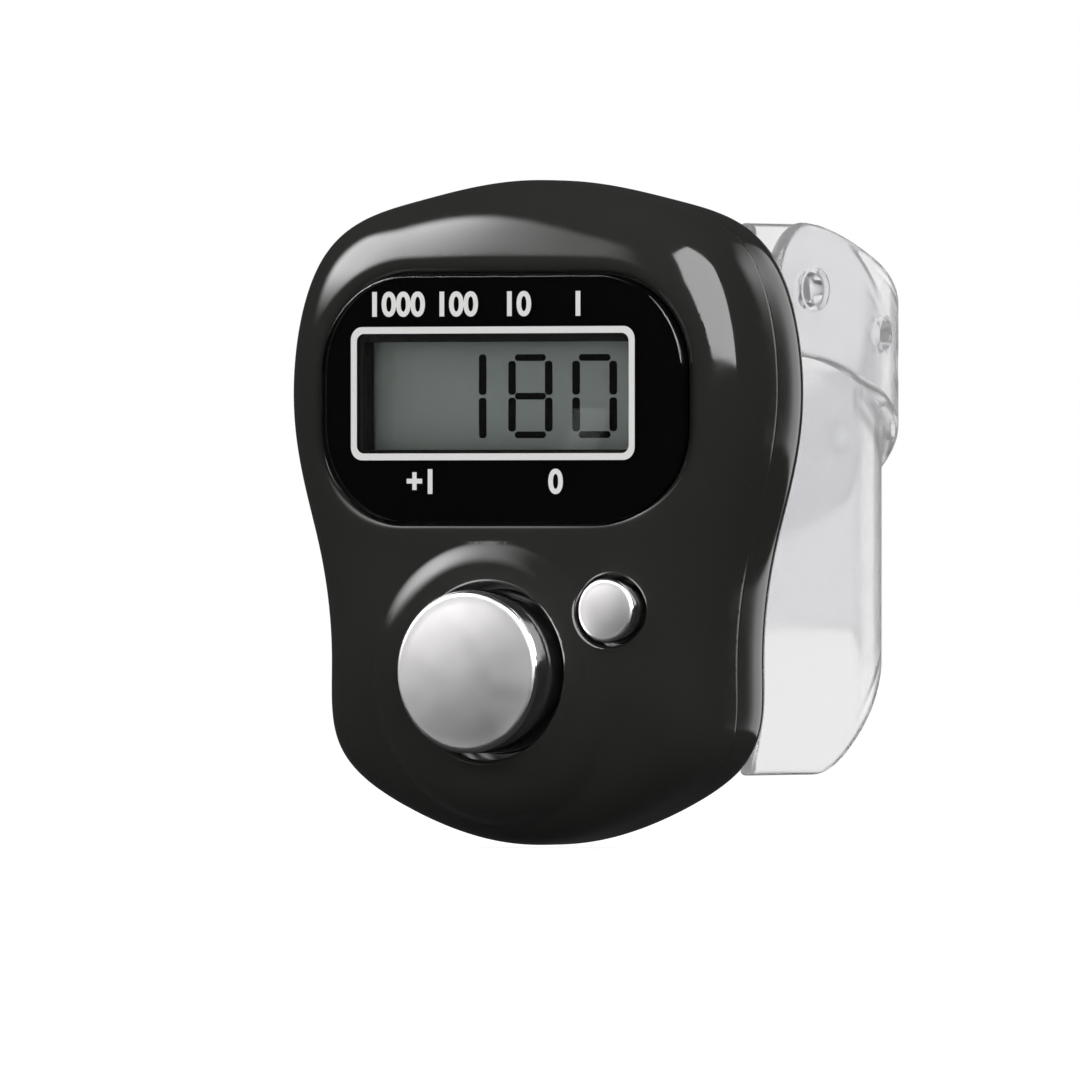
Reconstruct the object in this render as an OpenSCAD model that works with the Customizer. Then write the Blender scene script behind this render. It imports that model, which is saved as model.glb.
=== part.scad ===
// Finger tally counter on a clear two-piece strap. Millimetres, +Z up along the body, the face
// looks along -Y. The origin lies on the axis of the finger, level with the middle of the body.

/* [Body] */
// Width of the body where it is widest
body_w = 32.5; // [32:0.1:36]
// Height of the body
body_h = 41; // [40.5:0.1:45]
// Depth from the crown of the face to the crown of the back
body_d = 14; // [13.6:0.1:16]
// Wall of both shells
shell_wall = 1.2; // [1.1:0.05:1.3]
// How far the crown of the back is cut flat
back_flat = 0.2; // [0.1:0.05:0.3]

/* [Display] */
// Least width of the face beside the lens
lens_side = 3.45; // [3.2:0.05:4.5]
// Height of the lens
lens_h = 15.3; // [14.6:0.1:16]
// Thickness of the lens
lens_t = 1; // [0.8:0.05:1.2]
// Radius of the lens corners
lens_corner_r = 6; // [4:0.1:7]
// Printed border of the lens beside the window
window_side = 3.4; // [3:0.05:4.5]
// Height of the window behind the lens
window_h = 6.6; // [6:0.1:7.8]
// Thickness of each glass plate of the display
glass_t = 0.8; // [0.6:0.05:0.9]
// Free height of the contact strip between glass and board
zebra_h = 2.8; // [2.6:0.05:3]

/* [Buttons] */
// Diameter of the count button
count_d = 10; // [9:0.1:10.2]
// How far the count button stands above its collar
count_proud = 2.7; // [2:0.1:3.5]
// Travel of the count button
count_travel = 1; // [0.8:0.05:1.1]
// Diameter of the reset button
reset_d = 3.96; // [3.6:0.02:4.2]
// Travel of the reset button
reset_travel = 0.7; // [0.5:0.05:0.8]
// Free height of the spring domes
dome_h = 3; // [2.9:0.05:3.1]

/* [Battery] */
// Diameter of the cell
cell_d = 11.6; // [11:0.1:11.8]
// Thickness of the cell
cell_t = 3.05; // [2.8:0.05:3.2]
// Diameter of the battery door
door_d = 16; // [15.4:0.1:16.4]

/* [Strap] */
// Inner radius of the finger loop
loop_r = 10.5; // [10.3:0.1:11]
// Distance from the flat back to the axis of the finger
loop_back = 11.5; // [11.2:0.1:14]
// Thickness of the panel half of the strap
panel_t = 1.1; // [0.9:0.05:1.2]
// Thickness of the tongue half of the strap
tongue_t = 1; // [0.8:0.05:1.2]
// Width of the tongue
tongue_w = 8.3; // [7:0.1:9]
// Width of the band that goes round the finger
band_w = 16; // [14:0.5:18]
// Width of the strap where it leaves the body
root_w = 34; // [30:0.5:35]
// Width of the strap end that is rooted in the body
tab_w = 20; // [17:0.5:21]

/* [Hidden] */
$fn = 64;

// General clearances
over = 1;       // overrun of every cut
slip = 0.1;     // round a piece that is dropped into its seat
snug = 0.05;    // round a shaft or a screw
rub = 0.3;      // between soft pieces and what they pass

// Body outline: control points of a closed cubic B-spline, as shares of half the size
half_w = body_w / 2;
half_h = body_h / 2;
half_d = body_d / 2;
outline_x_shares = [0, 0.49, 0.93, 1.05, 0.86, 0.81, 0.85, 0.56, 0];
outline_z_shares = [1.03, 0.94, 0.86, 0.29, -0.11, -0.46, -0.73, -0.89, -1.05];
last_control = len(outline_x_shares) - 1;
span_steps = 5;      // points on each span of the spline
crown_power = 4;     // squareness of the section through the body
crown_steps = 8;     // rings from the crown to the parting line
cavity_steps = 6;
lip_t = 0.5;         // lip of the back shell that seats in the front shell
lip_h = 0.8;

// Display
lens_x_share = 0.025;
lens_z_share = 0.34;
lens_drop = 0.45;    // face of the lens below the crown of the face
lens_edge_r = 0.3;
pocket_rim = 0.55;   // step of the shell round the lens
pocket_wall = 1;
tape_t = 0.15;
tape_inset = 0.6;
window_x_share = -0.017;
window_z_share = 0.351;
lcd_border = 1.8;    // of the glass beside the window
rear_glass_h = 9.4;
ledge_h = 1.9;       // contact ledge below the rear glass
film_t = 0.2;
film_inset = 0.4;
frame_wall = 0.9;
frame_web = 0.8;
zebra_w = 20;
zebra_t = 1.5;
frame_rim = 1.2;     // how far the holder stands in front of the glass back
rib_t = 0.8;
rib_w = 6;

// Board
board_t = 0.8;
board_inset = 2.2;
blob_r = 2.6;
blob_h = 1;
blob_round_r = 4;
blob_z_share = -0.683;
part_w = 1.6;
part_h = 0.8;
part_t = 0.7;
part_places_shares = [[-0.5, -0.42], [-0.5, -0.5], [0.55, -0.45], [0.36, -0.575]];

// Buttons
collar_rise = 0.4;   // top of the collar above the crown of the face
collar_r = 6.2;      // flat top of the collar
collar_edge_r = 3.3;
count_x_share = -0.0125;
count_z_share = -0.475;
count_gap = 0.45;    // moat round the count button
reset_angle = 24;    // of the reset button from the count button, above level
guide_gap = 0.43;    // between the guides of the two buttons
reset_gap = 0.22;
reset_proud = 0.5;   // face of the reset button above the crown of the face
seat_depth = 2;      // from the top of the collar to the seat of the flanges
count_flange_w = 0.9;
reset_flange_w = 0.75;
flange_t = 0.8;
guide_wall = 0.65;
guide_h = 2.4;
cap_wall = 1;
cap_edge_r = 0.45;
stem_r = 1.5;
reset_stem_r = 1.1;
dome_foot_t = 0.5;
dome_foot_w = 1;
dome_skin = 0.35;
plunger_h = 1.25;    // solid top of the dome
count_dome_r = 4;
count_plunger_r = 1.9;
reset_dome_r = 2.6;

// Battery
cell_z_share = 0.078;
cell_stand_h = 1;      // between the board and the cell
cell_gap = 0.3;      // between the cell and its well
well_wall = 1;
door_t = 1.2;
door_gap = 0.12;
door_ledge_w = 1.3;
door_ledge_t = 1.2;
door_pad_r = 5;
door_tail = 9.6;     // from the middle of the cell to the door screw
door_tail_r = 3;
leaf_t = 0.2;
leaf_w = 2.6;
leaf_l = 4.6;
foot_l = 1.2;
cell_step_w = 0.8;   // step of the cell's front cap
cell_step_h = 0.35;
cell_edge_r = 0.3;

// Screws
case_screw_r = 0.8;
case_head_r = 1.5;
case_head_t = 1;
case_screw_l = 6;
case_post_r = 1.9;
case_tube_r = 2.2;
case_top_x_share = 0.4;
case_top_z_share = 0.795;
case_low_x_share = 0.418;
case_low_z_share = -0.751;
case_seat_y = 2.7;   // seats of the case screws, behind the parting line
screw_end = 0.4;     // from the end of a screw to the end of its hole
board_screw_r = 0.5;
board_head_r = 1.1;
board_head_t = 0.6;
board_screw_l = 2.6;
board_post_r = 1.3;
board_post_side = 5.25;  // from the widest side of the body to each post
board_post_gap = 0.25;   // below the display holder
door_screw_r = 0.8;
door_head_r = 1.5;
door_head_t = 0.8;
door_screw_l = 4;
door_post_r = 2;
door_post_h = 4.4;
slot_length_share = 0.7;
slot_width_share = 0.16;
slot_depth_share = 0.5;

// Strap
strap_z_share = 0.041;
tab_z_share = 0.17;
strap_front_l = 1.8;   // how far the strap edges reach in front of the crown of the back
root_depth = 2.9;       // depth of the root inside the crown of the back
hook_w = 1.1;
hook_t = 1.5;
hook_pad_w = 2.6;    // thickening of the shell round each slot
panel_wrap = 155;    // degrees of the loop that the panel covers
shoulder_start = 4.8;  // before the axis of the finger
shoulder_end = 10.7;   // past it
shoulder_steps = 10;
layer_gap = 0.05;
hole_r = 1;
hole_start = 5.6;    // further, from the hole over the stud to the row of spare holes
hole_pitch = 4.2;
holes = 5;
stud_neck_r = 0.85;
stud_head_r = 1.35;
stud_head_t = 0.7;
tip_y = 7.8;         // middle of the rounded tip, before the axis of the finger
tip_z_share = 0.673;
tongue_steps = 60;
tip_steps = 6;
step_from = 160;     // degrees where the tongue starts to step inwards behind the panel
step_to = 176;
rise_l = 37;         // length over which the tongue climbs
flare_l = 9;         // length over which it widens to the root
stud_edge_r = 0.3;

// Depths, along Y from the parting line
face_y = -(half_d - lens_drop);
lens_back_y = face_y + lens_t;
pocket_y = lens_back_y + tape_t;
lcd_y = pocket_y + shell_wall;
ledge_y = lcd_y + glass_t;
lcd_back_y = ledge_y + glass_t + film_t;
board_y = ledge_y + zebra_h;
board_back_y = board_y + board_t;
collar_y = -(half_d + collar_rise);
seat_y = collar_y + seat_depth;
count_face_h = -collar_y + count_proud;
dome_y = board_y - dome_h;
cell_y = board_back_y + cell_stand_h;
cell_back_y = cell_y + cell_t;
back_y = half_d - back_flat;
door_y = back_y - door_t;
loop_y = back_y + loop_back;
frame_y = lcd_back_y - frame_rim;
case_hole_l = case_screw_l - case_seat_y + screw_end;
hook_y = half_d - root_depth;
strap_front_y = half_d - strap_front_l;
stud_h = layer_gap + tongue_t + snug + stud_head_t;

// Places on the face
lens_w = body_w - 2 * lens_side;
window_w = lens_w - 2 * window_side;
lcd_w = window_w + 2 * lcd_border;
lens_x = lens_x_share * half_w;
lens_z = lens_z_share * half_h;
window_x = window_x_share * half_w;
window_z = window_z_share * half_h;
lcd_top_z = window_z + rear_glass_h / 2;
lcd_h = rear_glass_h + ledge_h;
lcd_z = lcd_top_z - lcd_h / 2;
zebra_z = lcd_top_z - rear_glass_h - ledge_h / 2;
frame_w = lcd_w + 2 * (slip + frame_wall);
frame_h = lcd_h + 2 * (slip + frame_wall);
count_x = count_x_share * half_w;
count_z = count_z_share * half_h;
count_r = count_d / 2;
count_guide_r = count_r + count_flange_w + slip;
reset_r = reset_d / 2;
reset_guide_r = reset_r + reset_flange_w + slip;
reset_off = count_guide_r + guide_gap + reset_guide_r;
reset_x = count_x + reset_off * cos(reset_angle);
reset_z = count_z + reset_off * sin(reset_angle);
cell_r = cell_d / 2;
door_r = door_d / 2;
cell_z = cell_z_share * half_h;
well_r = cell_r + cell_gap;
door_screw_z = cell_z - door_tail;
strap_z = strap_z_share * half_h;
tab_z = tab_z_share * half_h;
tip_z = tip_z_share * half_h;
case_top = [case_top_x_share * half_w, case_top_z_share * half_h];
case_low = [case_low_x_share * half_w, case_low_z_share * half_h];
case_places = [[case_top[0], case_top[1]], [-case_top[0], case_top[1]],
               [case_low[0], case_low[1]], [-case_low[0], case_low[1]]];
board_post_x = half_w - board_post_side;
board_post_z = lcd_z - frame_h / 2 - board_post_gap - board_post_r;
board_places = [[board_post_x, board_post_z], [-board_post_x, board_post_z]];

// Cubic B-spline through four control points, t from 0 to 1
function spline(a, b, c, d, t) =
    (pow(1 - t, 3) * a + (3 * pow(t, 3) - 6 * t * t + 4) * b
     + (3 * t + 3 * t * t - 3 * pow(t, 3) + 1) * c + pow(t, 3) * d) / 6;

// Control points of the outline, the left half mirrored from the right
function controls(w, h) = concat(
    [for (i = [0:last_control]) [outline_x_shares[i] * w / 2, outline_z_shares[i] * h / 2]],
    [for (i = [last_control - 1:-1:1]) [-outline_x_shares[i] * w / 2, outline_z_shares[i] * h / 2]]);

// Outline of the body drawn in by an inset
function outline(inset) =
    let (c = controls(body_w - 2 * inset, body_h - 2 * inset), n = len(c))
    [for (i = [0:n - 1]) for (k = [0:span_steps - 1])
        spline(c[(i + n - 1) % n], c[i], c[(i + 1) % n], c[(i + 2) % n], k / span_steps)];

// Rings of a crowned surface: each is the outline shrunk by a superellipse towards the crown
function crown_rings(inset, depth, steps, side) =
    let (flat = outline(inset))
    [for (j = [1:steps])
        let (a = 90 * j / steps, s = pow(sin(a), 2 / crown_power), y = pow(cos(a), 2 / crown_power))
        [for (p = flat) [s * p[0], side * depth * (j == steps ? 0 : y), s * p[1]]]];

// Smooth step from 0 to 1
function ease(t) = let (u = min(max(t, 0), 1)) u * u * (3 - 2 * u);

function reverse(list) = [for (i = [len(list) - 1:-1:0]) list[i]];

// Everything is drawn with the parting line at y = 0, then set in front of the finger
module seated() translate([0, -loop_y, 0]) children();

// A drawing in X and Z, extruded from y0 back to y1
module between(y0, y1) translate([0, y1, 0]) rotate([90, 0, 0]) linear_extrude(y1 - y0) children();

// A profile of radius and height, turned about an axis along Y and standing towards the face
module turned_front(x, z) translate([x, 0, z]) rotate([90, 0, 0]) rotate_extrude() children();

// The same, standing towards the back
module turned_back(x, z) translate([x, 0, z]) rotate([-90, 0, 0]) rotate_extrude() children();

// Rectangle from one corner to the other
module corners(x0, y0, x1, y1) translate([x0, y0]) square([x1 - x0, y1 - y0]);

// Rectangle about its middle
module middle(x, z, w, h) translate([x, z]) square([w, h], center = true);

// Box from one corner to the other
module block(x0, y0, z0, x1, y1, z1) translate([x0, y0, z0]) cube([x1 - x0, y1 - y0, z1 - z0]);

// Rectangle with round corners, about its middle
module rounded(x, z, w, h, r) translate([x, z]) {
    square([w - 2 * r, h], center = true);
    square([w, h - 2 * r], center = true);
    for (i = [-1, 1]) for (k = [-1, 1]) translate([i * (w / 2 - r), k * (h / 2 - r)]) circle(r);
}

// Plate in X and Z with round corners and a rounded front edge, its face at y0, its back at y1
module cushion_plate(x, z, w, h, r, e, y0, y1) {
    between(y0 + e, y1) rounded(x, z, w, h, r);
    between(y0, y1) rounded(x, z, w - 2 * e, h - 2 * e, r - e);
    translate([x, y0 + e, z]) {
        for (i = [-1, 1]) for (k = [-1, 1])
            translate([i * (w / 2 - r), 0, k * (h / 2 - r)])
                rotate([90, 0, 0]) rotate_extrude() translate([r - e, 0]) circle(e);
        for (i = [-1, 1]) {
            translate([i * (w / 2 - e), 0, 0]) cylinder(r = e, h = h - 2 * r, center = true);
            translate([0, 0, i * (h / 2 - e)]) rotate([0, 90, 0])
                cylinder(r = e, h = w - 2 * r, center = true);
        }
    }
}

// Closed solid through a row of rings, with a pole at each end
module loft(pole_a, rings, pole_b) {
    n = len(rings[0]);
    m = len(rings);
    points = concat([pole_a], [for (r = rings) each r], [pole_b]);
    faces = concat(
        [for (i = [0:n - 1]) [0, 1 + i, 1 + (i + 1) % n]],
        [for (j = [0:m - 2]) for (i = [0:n - 1])
            [1 + (j + 1) * n + i, 1 + (j + 1) * n + (i + 1) % n, 1 + j * n + (i + 1) % n, 1 + j * n + i]],
        [for (i = [0:n - 1]) [m * n + 1, 1 + (m - 1) * n + (i + 1) % n, 1 + (m - 1) * n + i]]);
    polyhedron(points, faces, convexity = 10);
}

// Solid under a crowned surface, side -1 for the face and 1 for the back. It ends flat at the
// parting line, or past it by the given length.
module crowned(inset, depth, steps, side, past) {
    rings = crown_rings(inset, depth, steps, side);
    foot = [for (p = rings[steps - 1]) [p[0], -side * past, p[2]]];
    all_rings = past > 0 ? concat(rings, [foot]) : rings;
    if (side < 0)
        loft([0, side * depth, 0], all_rings, [0, -side * past, 0]);
    else
        loft([0, -side * past, 0], reverse(all_rings), [0, side * depth, 0]);
}

// Shell without openings: the skin less the cavity, in which the inner features are left standing
module moulded(side, past) difference() {
    union() {
        crowned(0, half_d, crown_steps, side, 0);
        if (side < 0) count_collar();
        else between(-lip_h, lip_h) polygon(outline(shell_wall - lip_t));
    }
    difference() {
        crowned(shell_wall, half_d - shell_wall, cavity_steps, side, past);
        children();
    }
}

// Raised ring of the face round the count button, with a soft outer edge
module count_collar() turned_front(count_x, count_z) {
    corners(0, 0, collar_r, -collar_y);
    corners(0, 0, collar_r + collar_edge_r, -collar_y - collar_edge_r);
    translate([collar_r, -collar_y - collar_edge_r]) intersection() {
        circle(collar_edge_r);
        square(collar_edge_r);
    }
}

module front_shell() color("#1c1c1b") seated() difference() {
    moulded(-1, over) {
        // floor and walls of the lens pocket
        between(-half_d, lcd_y)
            rounded(lens_x, lens_z, lens_w + 2 * pocket_wall, lens_h + 2 * pocket_wall,
                    lens_corner_r + pocket_wall);
        // ribs beside the display holder
        for (i = [-1, 1]) translate([window_x + i * (frame_w / 2 + slip + rib_t / 2), 0, lcd_z])
            block(-rib_t / 2, -half_d, -rib_w / 2, rib_t / 2, lcd_back_y, rib_w / 2);
        // guide tubes of the buttons
        turned_front(count_x, count_z)
            corners(0, -seat_y - guide_h, count_guide_r + guide_wall, half_d);
        turned_front(reset_x, reset_z)
            corners(0, -seat_y - guide_h, reset_guide_r + guide_wall, half_d);
        // bosses of the case screws and posts of the board screws
        for (p = case_places) turned_front(p[0], p[1])
            corners(0, 0, case_post_r, case_hole_l + screw_end);
        for (p = board_places) turned_front(p[0], p[1]) corners(0, -board_y, board_post_r, half_d);
    }
    // lens pocket, its step and the window
    between(-half_d - over, pocket_y)
        rounded(lens_x, lens_z, lens_w + 2 * slip, lens_h + 2 * slip, lens_corner_r + slip);
    between(-half_d - over, face_y + lens_edge_r)
        rounded(lens_x, lens_z, lens_w + 2 * pocket_rim, lens_h + 2 * pocket_rim,
                lens_corner_r + pocket_rim);
    between(pocket_y - over, lcd_y + over) middle(window_x, window_z, window_w, window_h);
    // holes and guides of the buttons
    turned_front(count_x, count_z) {
        corners(0, 0, count_r + count_gap, -collar_y + over);
        corners(0, -seat_y - guide_h - over, count_guide_r, -seat_y);
    }
    turned_front(reset_x, reset_z) {
        corners(0, 0, reset_r + reset_gap, -collar_y + over);
        corners(0, -seat_y - guide_h - over, reset_guide_r, -seat_y);
    }
    // screw holes
    for (p = case_places) turned_front(p[0], p[1])
        corners(0, -over, case_screw_r + snug, case_hole_l);
    for (p = board_places) turned_front(p[0], p[1])
        corners(0, -board_y - over, board_screw_r + snug, board_screw_l - board_back_y + screw_end);
    // rebate for the lip of the back shell
    between(-lip_h - slip, over) difference() {
        polygon(outline(shell_wall - lip_t - slip));
        polygon(outline(shell_wall + slip));
    }
}

// Outline of the battery door, grown all round
module door_outline(grow) {
    translate([0, cell_z]) circle(door_r + grow);
    translate([0, door_screw_z]) circle(door_tail_r + grow);
    corners(-door_tail_r - grow, door_screw_z, door_tail_r + grow, cell_z);
}

module back_shell() color("#1c1c1b") seated() difference() {
    moulded(1, lip_h + over) {
        // well of the cell, from just behind the board
        turned_back(0, cell_z) corners(0, board_back_y + slip, well_r + well_wall, half_d);
        // ledge under the door
        between(door_y - door_ledge_t, half_d) door_outline(door_gap + door_ledge_w);
        turned_back(0, door_screw_z) corners(0, door_y - door_post_h, door_post_r, half_d);
        for (p = case_places) turned_back(p[0], p[1]) corners(0, 0, case_tube_r, half_d);
        // thicker shell round the strap slots
        for (i = [-1, 1]) translate([i * (loop_r + panel_t / 2), 0, tab_z])
            block(-hook_pad_w / 2, hook_y + slip, -tab_w / 2 - shell_wall,
                  hook_pad_w / 2, half_d, tab_w / 2 + shell_wall);
    }
    // flat of the back
    between(back_y, half_d + over) middle(0, 0, body_w, body_h);
    // recess of the door and bore of the well
    between(door_y, half_d + over) door_outline(door_gap);
    turned_back(0, cell_z) corners(0, 0, well_r, half_d);
    // groove for the side contact, and the way through the well wall for its foot
    block(0, 0, cell_z - leaf_w / 2 - slip, cell_r + snug + leaf_t + slip, cell_back_y,
          cell_z + leaf_w / 2 + slip);
    block(0, 0, cell_z - leaf_w / 2 - slip, well_r + well_wall + over, board_back_y + rub + leaf_t,
          cell_z + leaf_w / 2 + slip);
    turned_back(0, door_screw_z)
        corners(0, door_y - door_screw_l, door_screw_r + snug, half_d);
    // case screws
    for (p = case_places) turned_back(p[0], p[1]) {
        corners(0, -lip_h - over, case_screw_r + slip, half_d);
        corners(0, case_seat_y, case_head_r + slip, half_d);
    }
    // slots and hook room of the strap
    strap_slot(loop_r, panel_t);
    mirror([1, 0, 0]) strap_slot(loop_r, tongue_t);
}

// Slot of one strap end, with the room for its hook inside
module strap_slot(x, t) {
    block(x - snug, hook_y - over, tab_z - tab_w / 2 - slip, x + t + snug, half_d + over,
          tab_z + tab_w / 2 + slip);
    block(x - hook_w - slip, hook_y - hook_t - slip, tab_z - tab_w / 2 - slip, x + t + slip,
          hook_y + slip, tab_z + tab_w / 2 + slip);
}

module display_lens() color("#0a0a0b") seated()
    cushion_plate(lens_x, lens_z, lens_w, lens_h, lens_corner_r, lens_edge_r, face_y, lens_back_y);

module lens_tape() color("#3a3a3a") seated() between(lens_back_y, pocket_y) difference() {
    rounded(lens_x, lens_z, lens_w - 2 * tape_inset, lens_h - 2 * tape_inset,
            lens_corner_r - tape_inset);
    middle(window_x, window_z, window_w + 2 * tape_inset, window_h + 2 * tape_inset);
}

module lcd_glass() color("#8f978f") seated() {
    between(lcd_y, ledge_y) middle(window_x, lcd_z, lcd_w, lcd_h);
    between(ledge_y, ledge_y + glass_t) middle(window_x, window_z, lcd_w, rear_glass_h);
}

module lcd_reflector() color("#7c847d") seated() between(ledge_y + glass_t, lcd_back_y)
    middle(window_x, window_z, lcd_w - 2 * film_inset, rear_glass_h - 2 * film_inset);

module lcd_frame() color("#e4e4df") seated() difference() {
    union() {
        difference() {
            between(frame_y, board_y) middle(window_x, lcd_z, frame_w, frame_h);
            between(lcd_back_y + frame_web, board_y + over)
                middle(window_x, lcd_z, frame_w - 2 * frame_wall, frame_h - 2 * frame_wall);
        }
        between(lcd_back_y, board_y)
            middle(window_x, zebra_z, zebra_w + 2 * (slip + frame_web),
                   zebra_t + 2 * (slip + frame_web));
    }
    between(frame_y - over, lcd_back_y) middle(window_x, lcd_z, lcd_w + 2 * slip, lcd_h + 2 * slip);
    between(frame_y, board_y + over)
        middle(window_x, zebra_z, zebra_w + 2 * slip, zebra_t + 2 * slip);
}

module zebra_strip() color("#b9b9c4") seated()
    between(ledge_y, board_y) middle(window_x, zebra_z, zebra_w, zebra_t);

module circuit_board() color("#1f6b3b") seated() between(board_y, board_back_y) difference() {
    polygon(outline(board_inset));
    for (p = case_places) translate(p) circle(case_tube_r + rub);
    for (p = board_places) translate(p) circle(board_screw_r + slip);
}

module controller_blob() color("#0d0d0d") seated() turned_back(0, blob_z_share * half_h)
    translate([0, board_back_y]) intersection() {
        translate([0, blob_h - blob_round_r]) circle(blob_round_r);
        corners(0, 0, blob_r, blob_h);
    }

module board_parts() color("#a3835a") seated() for (p = part_places_shares)
    translate([p[0] * half_w, board_back_y, p[1] * half_h])
        block(-part_w / 2, 0, -part_h / 2, part_w / 2, part_t, part_h / 2);

// Pan-head screw standing towards the back: its head sits on y, its shank runs forward
module screw(x, z, y, shank_r, shank_l, head_r, head_t) difference() {
    turned_back(x, z) {
        corners(0, y - shank_l, shank_r, y + head_t / 2);
        corners(0, y, head_r, y + head_t);
    }
    for (a = [0, 90]) translate([x, y + head_t, z]) rotate([0, a, 0])
        cube([2 * head_r * slot_length_share, 2 * head_t * slot_depth_share,
              2 * head_r * slot_width_share], center = true);
}

module board_screws() color("silver") seated() for (p = board_places)
    screw(p[0], p[1], board_back_y, board_screw_r, board_screw_l, board_head_r, board_head_t);

// Chromed cap of a button: a flange at its foot and a stem down to its dome
module cap(x, z, r, face_h, flange_r, core_r) turned_front(x, z) {
    corners(0, -seat_y - flange_t, flange_r, -seat_y);
    corners(0, -seat_y - flange_t, r, face_h - cap_edge_r);
    corners(0, -seat_y - flange_t, r - cap_edge_r, face_h);
    translate([r - cap_edge_r, face_h - cap_edge_r]) circle(cap_edge_r);
    corners(0, -dome_y, core_r, -seat_y);
}

// Silicone spring dome on the board: foot, thin skirt and solid plunger
module dome(x, z, foot_r, plunger_r) turned_front(x, z) polygon([
    [foot_r - dome_foot_w, -board_y], [foot_r, -board_y], [foot_r, -board_y + dome_foot_t],
    [foot_r - dome_foot_w + dome_skin, -board_y + dome_foot_t],
    [plunger_r, -dome_y - plunger_h + dome_skin], [plunger_r, -dome_y], [0, -dome_y],
    [0, -dome_y - plunger_h], [plunger_r - dome_skin, -dome_y - plunger_h],
    [foot_r - dome_foot_w, -board_y + dome_foot_t]]);

// Conductive pill under the plunger, its travel short of the board
module pill(x, z, r, travel) turned_front(x, z)
    corners(0, -board_y + travel + snug, r, -dome_y - plunger_h);

module count_button() color("#d6d7da") seated() difference() {
    cap(count_x, count_z, count_r, count_face_h, count_r + count_flange_w, stem_r);
    turned_front(count_x, count_z)
        corners(stem_r, -seat_y - flange_t - over, count_r - cap_wall, count_face_h - cap_wall);
}

module count_dome() color("#e8e8ea") seated() dome(count_x, count_z, count_dome_r, count_plunger_r);

module count_pill() color("#2a2a2a") seated()
    pill(count_x, count_z, count_plunger_r - dome_skin, count_travel);

module reset_button() color("#d6d7da") seated()
    cap(reset_x, reset_z, reset_r, half_d + reset_proud, reset_r + reset_flange_w, reset_stem_r);

module reset_dome() color("#e8e8ea") seated() dome(reset_x, reset_z, reset_dome_r, reset_stem_r);

module reset_pill() color("#2a2a2a") seated()
    pill(reset_x, reset_z, reset_stem_r - dome_skin, reset_travel);

module button_cell() color("#c9cacb") seated() turned_back(0, cell_z) {
    corners(0, cell_y, cell_r - cell_step_w, cell_back_y);
    corners(0, cell_y + cell_step_h, cell_r - cell_edge_r, cell_back_y);
    corners(0, cell_y + cell_step_h, cell_r, cell_back_y - cell_edge_r);
    translate([cell_r - cell_edge_r, cell_back_y - cell_edge_r]) circle(cell_edge_r);
}

// Leaf under the cell, bent up from its soldered foot to the cell
module contact_negative() color("#b8a25a") seated() translate([0, 0, cell_z - leaf_w / 2])
    linear_extrude(leaf_w) polygon([
        [-leaf_l, board_back_y], [-leaf_l / 3, board_back_y],
        [leaf_l / 6, cell_y - leaf_t], [leaf_l / 2, cell_y - leaf_t],
        [leaf_l / 2, cell_y], [leaf_l / 6 - leaf_t, cell_y],
        [-leaf_l / 3 - leaf_t, board_back_y + leaf_t], [-leaf_l, board_back_y + leaf_t]]);

// Strip beside the cell, standing on a foot that is soldered outside the well
module contact_positive() color("#b8a25a") seated() translate([cell_r + snug, 0, cell_z - leaf_w / 2])
    linear_extrude(leaf_w) {
        corners(0, board_back_y, leaf_t, cell_back_y - cell_edge_r);
        corners(0, board_back_y, well_r - cell_r + well_wall + foot_l, board_back_y + leaf_t);
    }

module battery_door() color("#1c1c1b") seated() difference() {
    union() {
        between(door_y, back_y) door_outline(0);
        turned_back(0, cell_z) corners(0, cell_back_y + slip, door_pad_r, back_y);
    }
    turned_back(0, door_screw_z) {
        corners(0, door_y - over, door_screw_r + slip, back_y + over);
        corners(0, back_y - door_head_t - snug, door_head_r + slip, back_y + over);
    }
}

module door_screw() color("silver") seated()
    screw(0, door_screw_z, back_y - door_head_t - snug, door_screw_r, door_screw_l, door_head_r,
          door_head_t);

module case_screws() color("silver") seated() for (p = case_places)
    screw(p[0], p[1], case_seat_y, case_screw_r, case_screw_l, case_head_r, case_head_t);

// Root of one strap end: a tab through the slot and a hook behind it
module strap_root(t) {
    block(loop_r, hook_y - hook_t, tab_z - tab_w / 2, loop_r + t, half_d, tab_z + tab_w / 2);
    block(loop_r - hook_w, hook_y - hook_t, tab_z - tab_w / 2, loop_r + t, hook_y, tab_z + tab_w / 2);
}

// Half width of the panel at a distance along Y from the axis of the finger
function panel_half(y) = root_w / 2
    - (root_w - band_w) / 2 * ease((y + shoulder_start) / (shoulder_end + shoulder_start));

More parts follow.
